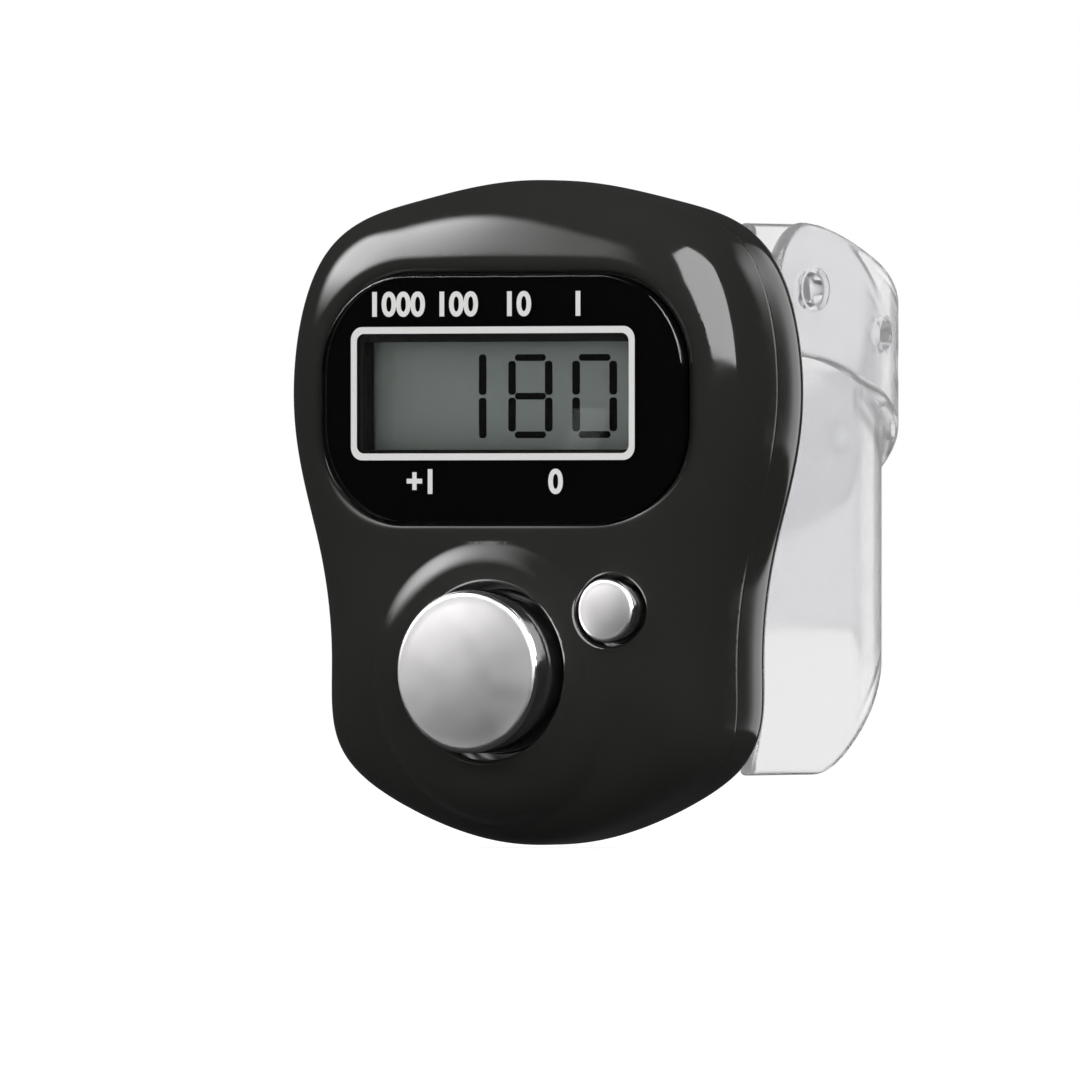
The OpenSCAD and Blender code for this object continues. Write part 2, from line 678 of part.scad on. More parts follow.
module strap_panel() color([0.93, 0.93, 0.96, 0.55]) seated() {
    strap_root(panel_t);
    difference() {
        union() {
            // leg and first quarter, cut to the shoulders
            intersection() {
                translate([0, loop_y, strap_z - root_w / 2]) linear_extrude(root_w) {
                    corners(loop_r, strap_front_y - loop_y, loop_r + panel_t, 0);
                    intersection() {
                        loop_ring();
                        square(loop_r + panel_t + over);
                    }
                }
                translate([0, loop_y, strap_z]) rotate([90, 0, 90]) linear_extrude(loop_r + panel_t + over)
                    polygon(concat(
                        [[-loop_y, -root_w / 2], [-shoulder_start, -root_w / 2]],
                        [for (k = [1:shoulder_steps]) let (y = panel_y(k)) [y, -panel_half(y)]],
                        [[loop_r + panel_t + over, -band_w / 2], [loop_r + panel_t + over, band_w / 2]],
                        [for (k = [shoulder_steps:-1:1]) let (y = panel_y(k)) [y, panel_half(y)]],
                        [[-shoulder_start, root_w / 2], [-loop_y, root_w / 2]]));
            }
            // band on round the finger
            translate([0, loop_y, strap_z - band_w / 2]) linear_extrude(band_w) intersection() {
                loop_ring();
                polygon([[0, 0], [0, 2 * loop_r], [-2 * loop_r, 2 * loop_r],
                         [2 * loop_r * cos(panel_wrap), 2 * loop_r * sin(panel_wrap)]]);
            }
        }
        crowned(-rub, half_d + rub, crown_steps, 1, over);
    }
    // stud that the tongue is pressed over
    translate([loop_r + panel_t, loop_y - tip_y, tip_z]) rotate([0, 90, 0]) rotate_extrude() {
        corners(0, -panel_t / 2, stud_neck_r, stud_h);
        corners(0, stud_h - stud_head_t, stud_head_r - stud_edge_r, stud_h);
        corners(0, stud_h - stud_head_t, stud_head_r, stud_h - stud_edge_r);
        translate([stud_head_r - stud_edge_r, stud_h - stud_edge_r]) circle(stud_edge_r);
    }
}

// Ring of the finger loop, about its axis
module loop_ring() difference() {
    circle(loop_r + panel_t);
    circle(loop_r);
}

function panel_y(k) = -shoulder_start + (shoulder_start + shoulder_end) * k / shoulder_steps;

// The tongue runs along the outside of the panel. Its stations are distances along that path,
// from the middle of the rounded tip, back along the right leg, round the loop and down the left.
tongue_r = tongue_w / 2;
path_r = loop_r + panel_t + layer_gap;
arc_l = path_r * PI;
left_l = loop_y - strap_front_y;
path_l = tip_y + arc_l + left_l;

// Angle round the loop at a station, and how far the path has gone down the left leg
function path_a(v) = min(max((v - tip_y) / path_r * 180 / PI, 0), 180);
function path_down(v) = max(v - tip_y - arc_l, 0);
function path_in(v) = path_r - (path_r - loop_r) * ease((path_a(v) - step_from) / (step_to - step_from));
function path_z(v) = tip_z - (tip_z - strap_z) * ease((v + tongue_r / 4) / rise_l);
function path_half(v) = v < 0 ? sqrt(max(tongue_r * tongue_r - v * v, 0))
    : tongue_r + (root_w / 2 - tongue_r) * ease(path_down(v) / flare_l);
function path_point(v, out, z) = let (r = path_in(v) + out, a = path_a(v)) [
    r * cos(a), r * sin(a) + min(v - tip_y, 0) - path_down(v), z];
function path_ring(v) = let (z = path_z(v), w = path_half(v)) [
    path_point(v, 0, z - w), path_point(v, 0, z + w),
    path_point(v, tongue_t, z + w), path_point(v, tongue_t, z - w)];
stations = concat(
    [for (k = [1:tip_steps]) -tongue_r * cos(90 * k / tip_steps - 45 / tip_steps)],
    [for (k = [0:tongue_steps]) path_l * k / tongue_steps]);

module strap_tongue() color([0.93, 0.93, 0.96, 0.55]) seated() difference() {
    union() {
        difference() {
            translate([0, loop_y, 0]) loft(path_point(stations[0], tongue_t / 2, path_z(stations[0])),
                 [for (v = stations) path_ring(v)],
                 path_point(path_l, tongue_t / 2, path_z(path_l)));
            crowned(-rub, half_d + rub, crown_steps, 1, over);
        }
        mirror([1, 0, 0]) strap_root(tongue_t);
    }
    for (k = [0:holes - 1]) let (v = k * hole_pitch + (k > 0 ? hole_start : 0))
        translate([0, loop_y + min(v - tip_y, 0), path_z(v)]) rotate([0, 0, path_a(v)])
            rotate([0, 90, 0]) cylinder(r = hole_r, h = path_r + tongue_t + over);
}

front_shell();
back_shell();
display_lens();
lens_tape();
lcd_glass();
lcd_reflector();
lcd_frame();
zebra_strip();
circuit_board();
controller_blob();
board_parts();
board_screws();
count_button();
count_dome();
count_pill();
reset_button();
reset_dome();
reset_pill();
button_cell();
contact_positive();
contact_negative();
battery_door();
door_screw();
case_screws();
strap_panel();
strap_tongue();
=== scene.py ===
from math import cos, pi, radians, sin
import bpy
import numpy as np
from mathutils import Matrix, Vector


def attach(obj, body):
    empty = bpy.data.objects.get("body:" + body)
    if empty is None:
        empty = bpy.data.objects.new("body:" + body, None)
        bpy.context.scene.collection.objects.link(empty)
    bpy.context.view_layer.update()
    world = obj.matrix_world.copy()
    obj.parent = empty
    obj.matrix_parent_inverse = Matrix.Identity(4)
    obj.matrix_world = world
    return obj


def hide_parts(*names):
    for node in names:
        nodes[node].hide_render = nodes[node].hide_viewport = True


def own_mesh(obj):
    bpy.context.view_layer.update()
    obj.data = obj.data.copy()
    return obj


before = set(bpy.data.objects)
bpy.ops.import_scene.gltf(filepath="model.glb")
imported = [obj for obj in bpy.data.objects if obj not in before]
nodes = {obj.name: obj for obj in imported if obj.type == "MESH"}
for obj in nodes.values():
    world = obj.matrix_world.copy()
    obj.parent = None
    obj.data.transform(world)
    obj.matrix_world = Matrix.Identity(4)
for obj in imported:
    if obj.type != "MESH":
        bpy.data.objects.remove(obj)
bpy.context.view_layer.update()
print("frame loaded:", len(nodes), "nodes")

# All sizes below are millimetres in the body's own drawing: x across, z up, y = 0 on the parting
# line and negative towards the face. The row frame lies loopY further back and counts metres.
body = {
    "width": 32.5, "height": 41, "halfDepth": 7, "loopY": 18.3, "wall": 1.2, "backY": 6.8,
    "xShares": [0, 0.49, 0.93, 1.05, 0.86, 0.81, 0.85, 0.56, 0],
    "zShares": [1.03, 0.94, 0.86, 0.29, -0.11, -0.46, -0.73, -0.89, -1.05],
    "power": 4, "around": 420, "rings": 104, "partingRound": 0.03, "backBlend": 0.06, "cutterY": -12,
    "lipHeight": 0.8, "lipInset": 0.7, "rebateInset": 0.6, "rebateY": -0.9,
}


def place(points):
    # Millimetres of the drawing to metres of the frame
    return (np.asarray(points, float) - (0, body["loopY"], 0)) / 1000


def linked(name, data):
    # A new object in the scene that shows the data
    piece = bpy.data.objects.new(name, data)
    bpy.context.scene.collection.objects.link(piece)
    return piece


def meshPiece(name, points, faces):
    # One object from points in millimetres and a list of face arrays. Where its signed volume is
    # negative, the faces are turned, so that they point outwards.
    mesh = bpy.data.meshes.new(name)
    mesh.from_pydata(place(points), [], [tuple(f) for part in faces for f in np.asarray(part).tolist()])
    mesh.calc_loop_triangles()
    corners = np.empty(len(mesh.loop_triangles) * 3, int)
    mesh.loop_triangles.foreach_get("vertices", corners)
    a, b, c = place(points)[corners.reshape(-1, 3)].transpose(1, 0, 2)
    if np.einsum("ij,ij->i", a, np.cross(b, c)).sum() < 0:
        mesh.flip_normals()
    return linked(name, mesh)


def ringFaces(rows, columns):
    # Quads between neighbouring closed rings of points
    i = np.arange(rows - 1)[:, None] * columns
    j = np.arange(columns)[None, :]
    k = (j + 1) % columns
    return np.stack([i + j, i + k, i + columns + k, i + columns + j], -1).reshape(-1, 4)


def fanFaces(pole, columns, first):
    # Triangles from a pole to the ring that starts at the point first
    j = np.arange(columns)
    return np.stack([np.full(columns, pole), first + (j + 1) % columns, first + j], -1)


def lofted(name, rings, start, end):
    # Closed solid through rings of points, shape rows by columns by 3, with a pole at each end
    rows, columns = rings.shape[:2]
    points = np.concatenate([rings.reshape(-1, 3), [start], [end]])
    count = rows * columns
    startFan = fanFaces(count, columns, 0)
    endFan = fanFaces(count + 1, columns, count - columns)[:, ::-1]
    return meshPiece(name, points, [ringFaces(rows, columns), startFan, endFan])


def rounding(centre, radius, start, end, steps=6):
    # Points of an arc in a profile, angles in degrees
    a = np.radians(np.linspace(start, end, steps))
    return [(centre[0] + radius * cos(t), centre[1] + radius * sin(t)) for t in a]


def turned(name, profile, x, z, steps=128):
    # A profile of radius and height, first and last point on the axis, turned about an axis along Y.
    # Height counts from the parting line towards the face.
    p = np.array(profile, float)
    a = np.linspace(0, 2 * pi, steps, endpoint=False)
    inner = p[1:-1]
    rings = np.stack([x + inner[:, :1] * np.cos(a), -inner[:, 1:] + 0 * a,
                      z + inner[:, :1] * np.sin(a)], -1)
    return lofted(name, rings, (x, -p[0, 1], z), (x, -p[-1, 1], z))


def discs(places, radius, low, high, steps=48):
    # Plain round tools between two heights, one at each place
    profile = [(0, low), (radius, low), (radius, high), (0, high)]
    return [turned("tool", profile, x, z, steps) for x, z in places]


def prism(name, outline, y0, y1):
    # An outline of x and z carried from y0 back to y1, both ends one flat face
    n = len(outline)
    flat = np.insert(np.asarray(outline, float), 1, 0, axis=1)
    points = np.concatenate([flat + (0, y0, 0), flat + (0, y1, 0)])
    i = np.arange(n)
    return meshPiece(name, points, [ringFaces(2, n), [i[::-1]], [i + n]])


def boxTool(x0, y0, z0, x1, y1, z1):
    # Plain block between two corners
    return prism("tool", [(x0, z0), (x1, z0), (x1, z1), (x0, z1)], y0, y1)


def roundedOutline(q, grow=0, steps=16):
    # Rectangle with round corners from its middle x and z, size w and h and radius r, grown all round
    w, h, r = q["w"] + 2 * grow, q["h"] + 2 * grow, q["r"] + grow
    a = np.linspace(0, pi / 2, steps)
    parts = []
    for k, (i, j) in enumerate(((1, 1), (-1, 1), (-1, -1), (1, -1))):
        t = a + k * pi / 2
        parts.append(np.stack([q["x"] + i * (w / 2 - r) + r * np.cos(t),
                               q["z"] + j * (h / 2 - r) + r * np.sin(t)], 1))
    return np.concatenate(parts)


def densified(outline, step):
    # The same closed outline with extra points, so that no side is longer than step
    following = np.roll(outline, -1, axis=0)
    counts = np.maximum(1, np.ceil(np.hypot(*(following - outline).T) / step)).astype(int)
    start = np.repeat(outline, counts, axis=0)
    share = np.concatenate([np.arange(n) / n for n in counts])[:, None]
    return start + (np.repeat(following, counts, axis=0) - start) * share


def booleanOf(piece, tools, operation="DIFFERENCE"):
    # Boolean of a piece with all the tools together, then the tools are gone
    group = bpy.data.collections.new("tools")
    for tool in tools:
        bpy.context.scene.collection.objects.unlink(tool)
        group.objects.link(tool)
    bpy.context.scene.collection.children.link(group)
    step = piece.modifiers.new("boolean", "BOOLEAN")
    step.operation = operation
    step.operand_type = "COLLECTION"
    step.collection = group
    step.solver = "MANIFOLD"
    settled(piece)
    for tool in tools:
        bpy.data.objects.remove(tool)
    bpy.data.collections.remove(group)
    return piece


def settled(piece):
    # Applies what modifiers a piece has
    graph = bpy.context.evaluated_depsgraph_get()
    mesh = bpy.data.meshes.new_from_object(piece.evaluated_get(graph))
    piece.modifiers.clear()
    piece.data = mesh
    return piece


def shaded(piece, angle):
    # Smooth, but for edges that turn by more than the angle in degrees
    piece.data.shade_smooth()
    piece.data.set_sharp_from_angle(angle=radians(angle))
    return piece


def weighted(piece):
    # Large faces lead the shading, so that flats stay flat beside rounded edges
    step = piece.modifiers.new("normals", "WEIGHTED_NORMAL")
    step.keep_sharp, step.weight = True, 50
    return piece


def eased(t):
    # Smooth step from 0 to 1
    t = np.clip(t, 0, 1)
    return t * t * (3 - 2 * t)


def pointsOf(mesh):
    # All points of a mesh as one array
    co = np.empty(len(mesh.vertices) * 3)
    mesh.vertices.foreach_get("co", co)
    return co.reshape(-1, 3)


def joined(name, pieces):
    # Several separate solids kept as one object
    points, faces, first = [], [], 0
    for piece in pieces:
        points.append(pointsOf(piece.data))
        faces += [tuple(first + v for v in polygon.vertices) for polygon in piece.data.polygons]
        first += len(points[-1])
        bpy.data.objects.remove(piece)
    mesh = bpy.data.meshes.new(name)
    mesh.from_pydata(np.concatenate(points), [], faces)
    return linked(name, mesh)


def finished(piece, material, bodyName, slot, *replaced):
    # Gives a piece its material and body, and hides the CAD nodes that it stands for. The slot is not used.
    piece.data.materials.clear()
    piece.data.materials.append(material)
    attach(piece, bodyName)
    if replaced:
        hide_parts(*replaced)
    return piece


def linear(hexColour):
    # sRGB hex to the linear colour that the shaders take
    c = np.array([int(hexColour[i:i + 2], 16) for i in (1, 3, 5)]) / 255
    return (*np.where(c <= 0.04045, c / 12.92, ((c + 0.055) / 1.055) ** 2.4), 1)


def addNode(tree, kind, settings=None, **links):
    # One node: settings are attributes, or input values by name or number. Links are inputs fed by
    # an output, by name, or by number after an underscore.
    node = tree.nodes.new("ShaderNode" + kind)
    for key, value in (settings or {}).items():
        if isinstance(key, int) or key in node.inputs:
            node.inputs[key].default_value = value
        else:
            setattr(node, key, value)
    for key, source in links.items():
        socket = node.inputs[int(key[1:])] if key[1:].isdigit() else node.inputs[key.replace("_", " ")]
        tree.links.new(source, socket)
    return node


def emptyTree(owner):
    # Node tree of a material or world with nothing in it
    owner.use_nodes = True
    owner.node_tree.nodes.clear()
    return owner.node_tree


def newMaterial(name):
    material = bpy.data.materials.new(name)
    tree = emptyTree(material)
    return material, tree, addNode(tree, "TexCoord").outputs["Object"]


def mottled(tree, where, size, low=0, high=1, detail=3, stretch=(1, 1, 1)):
    # Noise whose grain is size millimetres, bare and mapped to values from low to high
    mapping = addNode(tree, "Mapping", {"Scale": stretch}, Vector=where)
    noise = addNode(tree, "TexNoise", {"Scale": 1000 / size, "Detail": detail}, Vector=mapping.outputs[0])
    spread = addNode(tree, "MapRange", {"From Min": 0.3, "From Max": 0.7, "To Min": low, "To Max": high},
                     Value=noise.outputs[0])
    return noise.outputs[0], spread.outputs[0]


def tinted(tree, factor, colours):
    # Mix of two hex colours by a factor
    first, second = [linear(colour) for colour in colours]
    return addNode(tree, "Mix", {"data_type": "RGBA", 6: first, 7: second}, Factor=factor).outputs[2]


def surfaceOf(material, tree, settings, colour=None, roughness=None, height=None, depth=0.01):
    # Principled surface. Height is bump, depth is its size in millimetres.
    shader = addNode(tree, "BsdfPrincipled", settings)
    if height is not None:
        height = addNode(tree, "Bump", {"Strength": 1, "Distance": depth / 1000}, Height=height).outputs[0]
    for key, source in (("Base Color", colour), ("Roughness", roughness), ("Normal", height)):
        if source is not None:
            tree.links.new(source, shader.inputs[key])
    tree.links.new(shader.outputs[0], addNode(tree, "OutputMaterial").inputs[0])
    return material


def finishOf(name, settings, colours=None, tint=None, rough=None, relief=None, depth=0.01):
    # One material: tint mixes its two colours, rough is its roughness and relief its bump. Each is
    # the settings of a noise of its own, or the name of the one whose bare noise it follows.
    material, tree, where = newMaterial(name)
    specs = {"tint": tint, "rough": rough, "relief": relief}
    noise = {key: mottled(tree, where, **spec) for key, spec in specs.items() if isinstance(spec, dict)}
    tint, rough, relief = [noise[key][1] if key in noise else noise[spec][0] if spec else None
                           for key, spec in specs.items()]
    colour = tinted(tree, tint, colours) if colours else None
    return surfaceOf(material, tree, settings, colour, rough, relief, depth)


def chromePlate(name, faceEnd):
    # Chrome on moulded plastic: the face is satin, with a soft broad shine, and from faceEnd back,
    # in millimetres, the rim and barrel are polished, with crisp glints
    material, tree, where = newMaterial(name)
    satin = mottled(tree, where, 1.2, 0.42, 0.46, 1)[1]
    broad, share = mottled(tree, where, 4, detail=1)
    end = (faceEnd - body["loopY"]) / 1000
    depth = addNode(tree, "SeparateXYZ", {}, Vector=where).outputs["Y"]
    polish = addNode(tree, "MapRange", {"From Min": end, "From Max": end + 0.0001, "To Min": 1,
                                        "To Max": 0.2}, Value=depth)
    rough = addNode(tree, "Math", {"operation": "MULTIPLY"}, _0=satin, _1=polish.outputs[0])
    return surfaceOf(material, tree, {"Metallic": 1}, tinted(tree, share, ("#f0eeef", "#ebe9ea")),
                     rough.outputs[0], broad, 0.002)


def clearStrap():
    # Soft clear plastic, moulded: its flats are a little grey, and its rounded edges carry a painted
    # highlight, the colour turning white where the surface faces away from the view. Its skin is satin from
    # the mould
    material, tree, where = newMaterial("tpu_clear")
    # painted highlight: the base colour is mixed from the grey tint to white by how far the surface faces
    # away from the view
    edge = addNode(tree, "LayerWeight", {"Blend": 0.5})
    return surfaceOf(material, tree, {"Transmission Weight": 0.9, "IOR": 1.3, "Sheen Weight": 0.5,
                                      "Sheen Roughness": 0.4},
                     tinted(tree, edge.outputs["Facing"], ("#f9f9fb", "#ffffff")),
                     mottled(tree, where, 1.5, 0.12, 0.18)[1], mottled(tree, where, 12)[0], 0.004)


def layeredSilicone():
    # Contact strip: clear and carbon-filled silicone in layers along its length. The wave turns by
    # 20 radians in a unit, so two layers take 1.1 mm, coarser than real ones, which wouldn't show.
    material, tree, where = newMaterial("layered_silicone")
    wave = addNode(tree, "TexWave", {"Scale": 1000 / 0.18 / 20, "bands_direction": "X"}, Vector=where)
    colour = tinted(tree, wave.outputs[1], ("#c9c9d2", "#26262b"))
    return surfaceOf(material, tree, {"Roughness": 0.5, "IOR": 1.41}, colour)


def glassEpoxy():
    # Circuit board: glass cloth of 0.5 mm threads showing through green solder mask. A brick is half
    # a unit wide.
    material, tree, where = newMaterial("glass_epoxy_green")
    weave = addNode(tree, "TexBrick", {
        "Scale": 1000 / 0.5 * 0.5, "Mortar Size": 0.03, "Color1": linear("#1c6b3a"),
        "Color2": linear("#227543"), "Mortar": linear("#16552e")}, Vector=where)
    return surfaceOf(material, tree, {"Roughness": 0.32, "IOR": 1.5}, weave.outputs[0],
                     height=weave.outputs[1])


# ABS from a polished mould: near black, clear reflections, a faint unevenness and fine dust
absBlack = finishOf("abs_gloss_black", {"IOR": 1.54, "Specular IOR Level": 0.4}, ("#2e2e2d", "#31312f"),
                    {"size": 9}, {"size": 0.9, "low": 0.05, "high": 0.11}, "tint", 0.004)
# Cast acrylic window, laser cut and polished: clear, with hairline wear in its gloss
clearGloss = {"Transmission Weight": 1, "Specular IOR Level": 0.06}
acrylic = finishOf("acrylic_clear", {**clearGloss, "Base Color": linear("#fcfdfd"), "IOR": 1.49},
                   rough={"size": 0.5, "high": 0.03, "stretch": (1, 1, 6)})
# Soda glass of the display with its front film: clear with a faint green cast
sodaGlass = finishOf("soda_glass", {**clearGloss, "Base Color": linear("#f6f9f7"), "IOR": 1.52},
                     rough={"size": 0.6, "high": 0.04})
# Screen-printed ink: even, dull, with the slight grain of the mesh it was printed through
inkBlack, inkWhite, segmentBlack = [
    finishOf(name, {"Roughness": rough, "Specular IOR Level": 0}, colours, {"size": 0.12, "detail": 2},
             relief="tint", depth=0.002)
    for name, colours, rough in (("screen_ink_black", ("#060607", "#0a0a0b"), 0.5),
                                 ("screen_ink_white", ("#f6f6f4", "#f0f0ee"), 0.55),
                                 ("liquid_crystal_dark", ("#0b0c0b", "#121412"), 0.4))]
# Brushed reflective film behind the display: grey-green, with fine level streaks
film = finishOf("reflector_film", {"Roughness": 0.55}, ("#838b86", "#8c948f"),
                {"size": 0.35, "detail": 4, "stretch": (0.12, 1, 1)}, relief="tint", depth=0.003)
# The field behind the digits: polarising film over the rear glass, an even grey-green, matt
crystalField = finishOf("polarising_film", {"Roughness": 0.6, "Specular IOR Level": 0},
                        ("#e7ece9", "#ebefed"), {"size": 5}, relief={"size": 0.1, "detail": 2}, depth=0.002)
chromeLarge = chromePlate("chrome_on_abs_large", -9.78)
chromeSmall = chromePlate("chrome_on_abs_small", -7.36)
strapPlastic = clearStrap()
zebraRubber = layeredSilicone()
boardLaminate = glassEpoxy()
# Moulded silicone: soft sheen, faint bloom on the skin
domeRubber, carbonRubber = [
    finishOf(name, {"IOR": 1.41}, colours, {"size": 1.5}, {"size": 0.4, "low": 0.45, "high": 0.6},
             "rough", 0.006)
    for name, colours in (("silicone_translucent", ("#dcdcdf", "#e9e9eb")),
                          ("silicone_carbon_filled", ("#1d1d1e", "#262628")))]
# Small pieces whose finish is a fine speckle, by roughness, grain and depth of it
epoxyDrop, chipCeramic, foamTape, frameStyrene = [
    finishOf(name, {"Roughness": rough}, colours, {"size": grain}, relief="tint", depth=depth)
    for name, colours, rough, grain, depth in (
        ("epoxy_cured_black", ("#0c0c0d", "#151516"), 0.28, 0.6, 0.02),
        ("ceramic_fired", ("#9c7a50", "#b08a5c"), 0.6, 0.15, 0.01),
        ("foam_adhesive_tape", ("#2b2b2c", "#39393a"), 0.9, 0.2, 0.03),
        ("polystyrene_moulded_white", ("#e6e6e1", "#dededa"), 0.4, 0.8, 0.01))]
# Plated steel is barrelled and cloudy, drawn bronze has a grain that runs up its strip
screwSteel, cellSteel, contactBronze = [
    finishOf(name, {"Metallic": 1}, colours, "rough",
             {"size": grain, "low": low, "high": high, "detail": 4, "stretch": (1, 1, drawn)}, "rough", 0.004)
    for name, colours, grain, low, high, drawn in (
        ("steel_zinc_plated", ("#b9babb", "#d3d4d5"), 0.4, 0.22, 0.4, 1),
        ("steel_nickel_plated", ("#c6c6c4", "#dbdbd9"), 0.3, 0.14, 0.3, 1),
        ("phosphor_bronze_strip", ("#b7965a", "#caa968"), 0.25, 0.2, 0.36, 0.1))]
print("materials:", len(bpy.data.materials))


def outlineCurve(inset, count):
    # Closed uniform cubic B-spline through the body's control points, the left half mirrored,
    # drawn in by shrinking the control points by the inset
    xs = np.array(body["xShares"] + [-v for v in body["xShares"][-2:0:-1]]) * (body["width"] / 2 - inset)
    zs = np.array(body["zShares"] + body["zShares"][-2:0:-1]) * (body["height"] / 2 - inset)
    n = len(xs)
    t = np.arange(count) * n / count
    i, f = t.astype(int), t % 1
    weight = np.stack([(1 - f) ** 3, 3 * f ** 3 - 6 * f ** 2 + 4,
                       3 * f + 3 * f ** 2 - 3 * f ** 3 + 1, f ** 3]) / 6
    pick = np.stack([(i + k - 1) % n for k in range(4)])
    return np.stack([(weight * xs[pick]).sum(0), (weight * zs[pick]).sum(0)], 1)


def outwardness(x, z, inset=0):
    # How far a point lies towards the outline, 0 in the middle and 1 on it
    curve = outlineCurve(inset, 3600)
    angle = np.arctan2(curve[:, 1], curve[:, 0])
    order = np.argsort(angle)
    reach = np.interp(np.arctan2(z, x), angle[order], np.hypot(*curve.T)[order], period=2 * pi)
    return np.hypot(x, z) / reach


def crownHeight(x, z, inset=0):
    # Height of the crowned face or back over the parting line: a superellipse of the outwardness
    share = np.clip(outwardness(np.asarray(x, float), np.asarray(z, float), inset), 0, 1)
    return (body["halfDepth"] - inset) * (1 - share ** body["power"]) ** (1 / body["power"])


def crownProfile(turn):
    # Shrink and height of the superellipse crown at an angle of its section, 0 at its top
    return np.sin(turn) ** (2 / body["power"]), np.clip(np.cos(turn), 0, 1) ** (2 / body["power"])


def crownedSolid(side, past, around=160, rings=24):
    # The hollow under the crown inside the wall, side -1 for the face and 1 for the back. Rings run
    # from the crown to the parting line and past it, each the outline shrunk by the superellipse.
    depth = body["halfDepth"] - body["wall"]
    shrink, height = crownProfile(np.linspace(0, pi / 2, rings + 1)[1:])
    height[-1] = 0
    curve = outlineCurve(body["wall"], around)
    points = np.stack([shrink[:, None] * curve[:, 0], side * depth * height[:, None] + 0 * curve[:, 0],
                       shrink[:, None] * curve[:, 1]], -1)
    foot = points[-1:] * (1, 0, 1) - (0, side * past, 0)
    return lofted("cavity", np.concatenate([points, foot]), (0, side * depth, 0), (0, -side * past, 0))


def rimRows(base, outward, reach, depth, last=70, beyond=1.2, steps=6):
    # Rows of a cutter that leaves a rounded rim: from the wall a quarter of an ellipse turns outwards
    # to an angle and is carried on straight past the face
    t = radians(last)
    turns = [(1 - cos(t), 1 - sin(t)) for t in np.radians(np.linspace(0, last, steps))]
    turns.append((1 - cos(t) + beyond * sin(t), 1 - sin(t) - beyond * cos(t)))
    rows = []
    for out, down in turns:
        flare = base + outward * reach * out
        rows.append(np.stack([flare[:, 0], depth * down - faceHeight(*flare.T), flare[:, 1]], 1))
    return rows + [np.insert(flare, 1, body["cutterY"], axis=1)]


def pocketTool():
    # Cutter of the lens pocket in the crowned face. Its rounded shoulder is less deep where the crown
    # is low, and shallow along the foot.
    q = lens
    base = densified(roundedOutline(q, q["slip"]), 0.4)
    away = np.roll(base, -1, axis=0) - np.roll(base, 1, axis=0)
    outward = np.stack([away[:, 1], -away[:, 0]], 1) / np.hypot(*away.T)[:, None]
    room = crownHeight(base[:, 0], base[:, 1]) + q["pocketY"] - q["leastStep"]
    lift = np.clip((base[:, 1] - base[:, 1].min()) / q["footRun"], 0, 1)
    depth = np.minimum(q["shoulderDepth"] * (q["footShare"] + (1 - q["footShare"]) * lift), room)
    rows = [np.insert(base, 1, q["pocketY"], axis=1)]
    rows += rimRows(base, outward, q["shoulder"], depth, 80, 0.6, 10)
    return lofted("tool", np.array(rows), (q["x"], q["pocketY"], q["z"]), (q["x"], body["cutterY"], q["z"]))


lens = {"x": 0.40625, "z": 6.97, "w": 25.6, "h": 15.3, "r": 6, "faceY": -6.55, "backY": -5.56,
        "edge": 0.16, "pocketY": -5.4, "slip": 0.12, "shoulder": 1.15, "shoulderDepth": 0.6,
        "footShare": 0.17, "footRun": 4, "leastStep": 0.15}
window = {"x": -0.27625, "z": 7.1955, "w": 18.8, "h": 6.6}
countButton = {"x": -0.203125, "z": -9.7375, "r": 5, "faceH": 10.1, "dome": 0.28, "edge": 0.4,
               "gap": 0.45, "collarH": 7.4, "collarR": 6.2, "collarEdge": 3.3, "seatH": 5.4,
               "flangeR": 5.9, "guideR": 6, "guideWall": 0.65, "guideH": 2.4, "holeEdge": 0.3,
               "collarBlend": 0.25, "stemR": 1.5, "wall": 1, "domeH": 3.6, "flangeT": 0.8}
resetButton = {"x": 8.25631, "z": -5.97112, "r": 1.98, "faceH": 7.5, "dome": 0.1, "edge": 0.3,
               "gap": 0.22, "flangeR": 2.73, "guideR": 2.83, "holeEdge": 0.25, "stemR": 1.1}


def evenProfile(rings):
    # Shrink and height of the crown's rings, spaced evenly along its section
    a = np.linspace(0, pi / 2, 4000)
    shrink, height = crownProfile(a)
    steps = np.hypot(np.diff(shrink) * body["width"] / 2, np.diff(height) * body["halfDepth"])
    run = np.concatenate([[0], np.cumsum(steps)])
    return crownProfile(np.interp(np.linspace(0, run[-1], rings + 1)[1:], run, a))


def collarHeight(r):
    # Raised ring round the count button: flat top, a quarter round down to its foot, and a drop
    b = countButton
    run = r - b["collarR"]
    fall = np.clip(run / b["collarEdge"], 0, 1)
    drop = np.clip(run - b["collarEdge"], 0, 9) * 9
    return b["collarH"] - b["collarEdge"] * (1 - np.sqrt(1 - fall ** 2)) - drop


def softer(a, b, k, sign=1):
    # Smooth maximum of two heights, or minimum with sign -1, blended over k millimetres
    t = np.clip(0.5 + sign * (a - b) / (2 * k), 0, 1)
    return b * (1 - t) + a * t + sign * k * t * (1 - t)


def skinHeight(x, z, side):
    # The face is the crown with the collar blended on, the back is the crown cut flat
    crown = crownHeight(x, z)
    if side > 0:
        return softer(crown, body["backY"], body["backBlend"], -1)
    b = countButton
    return softer(crown, collarHeight(np.hypot(x - b["x"], z - b["z"])), b["collarBlend"])


def faceHeight(x, z):
    return skinHeight(x, z, -1)


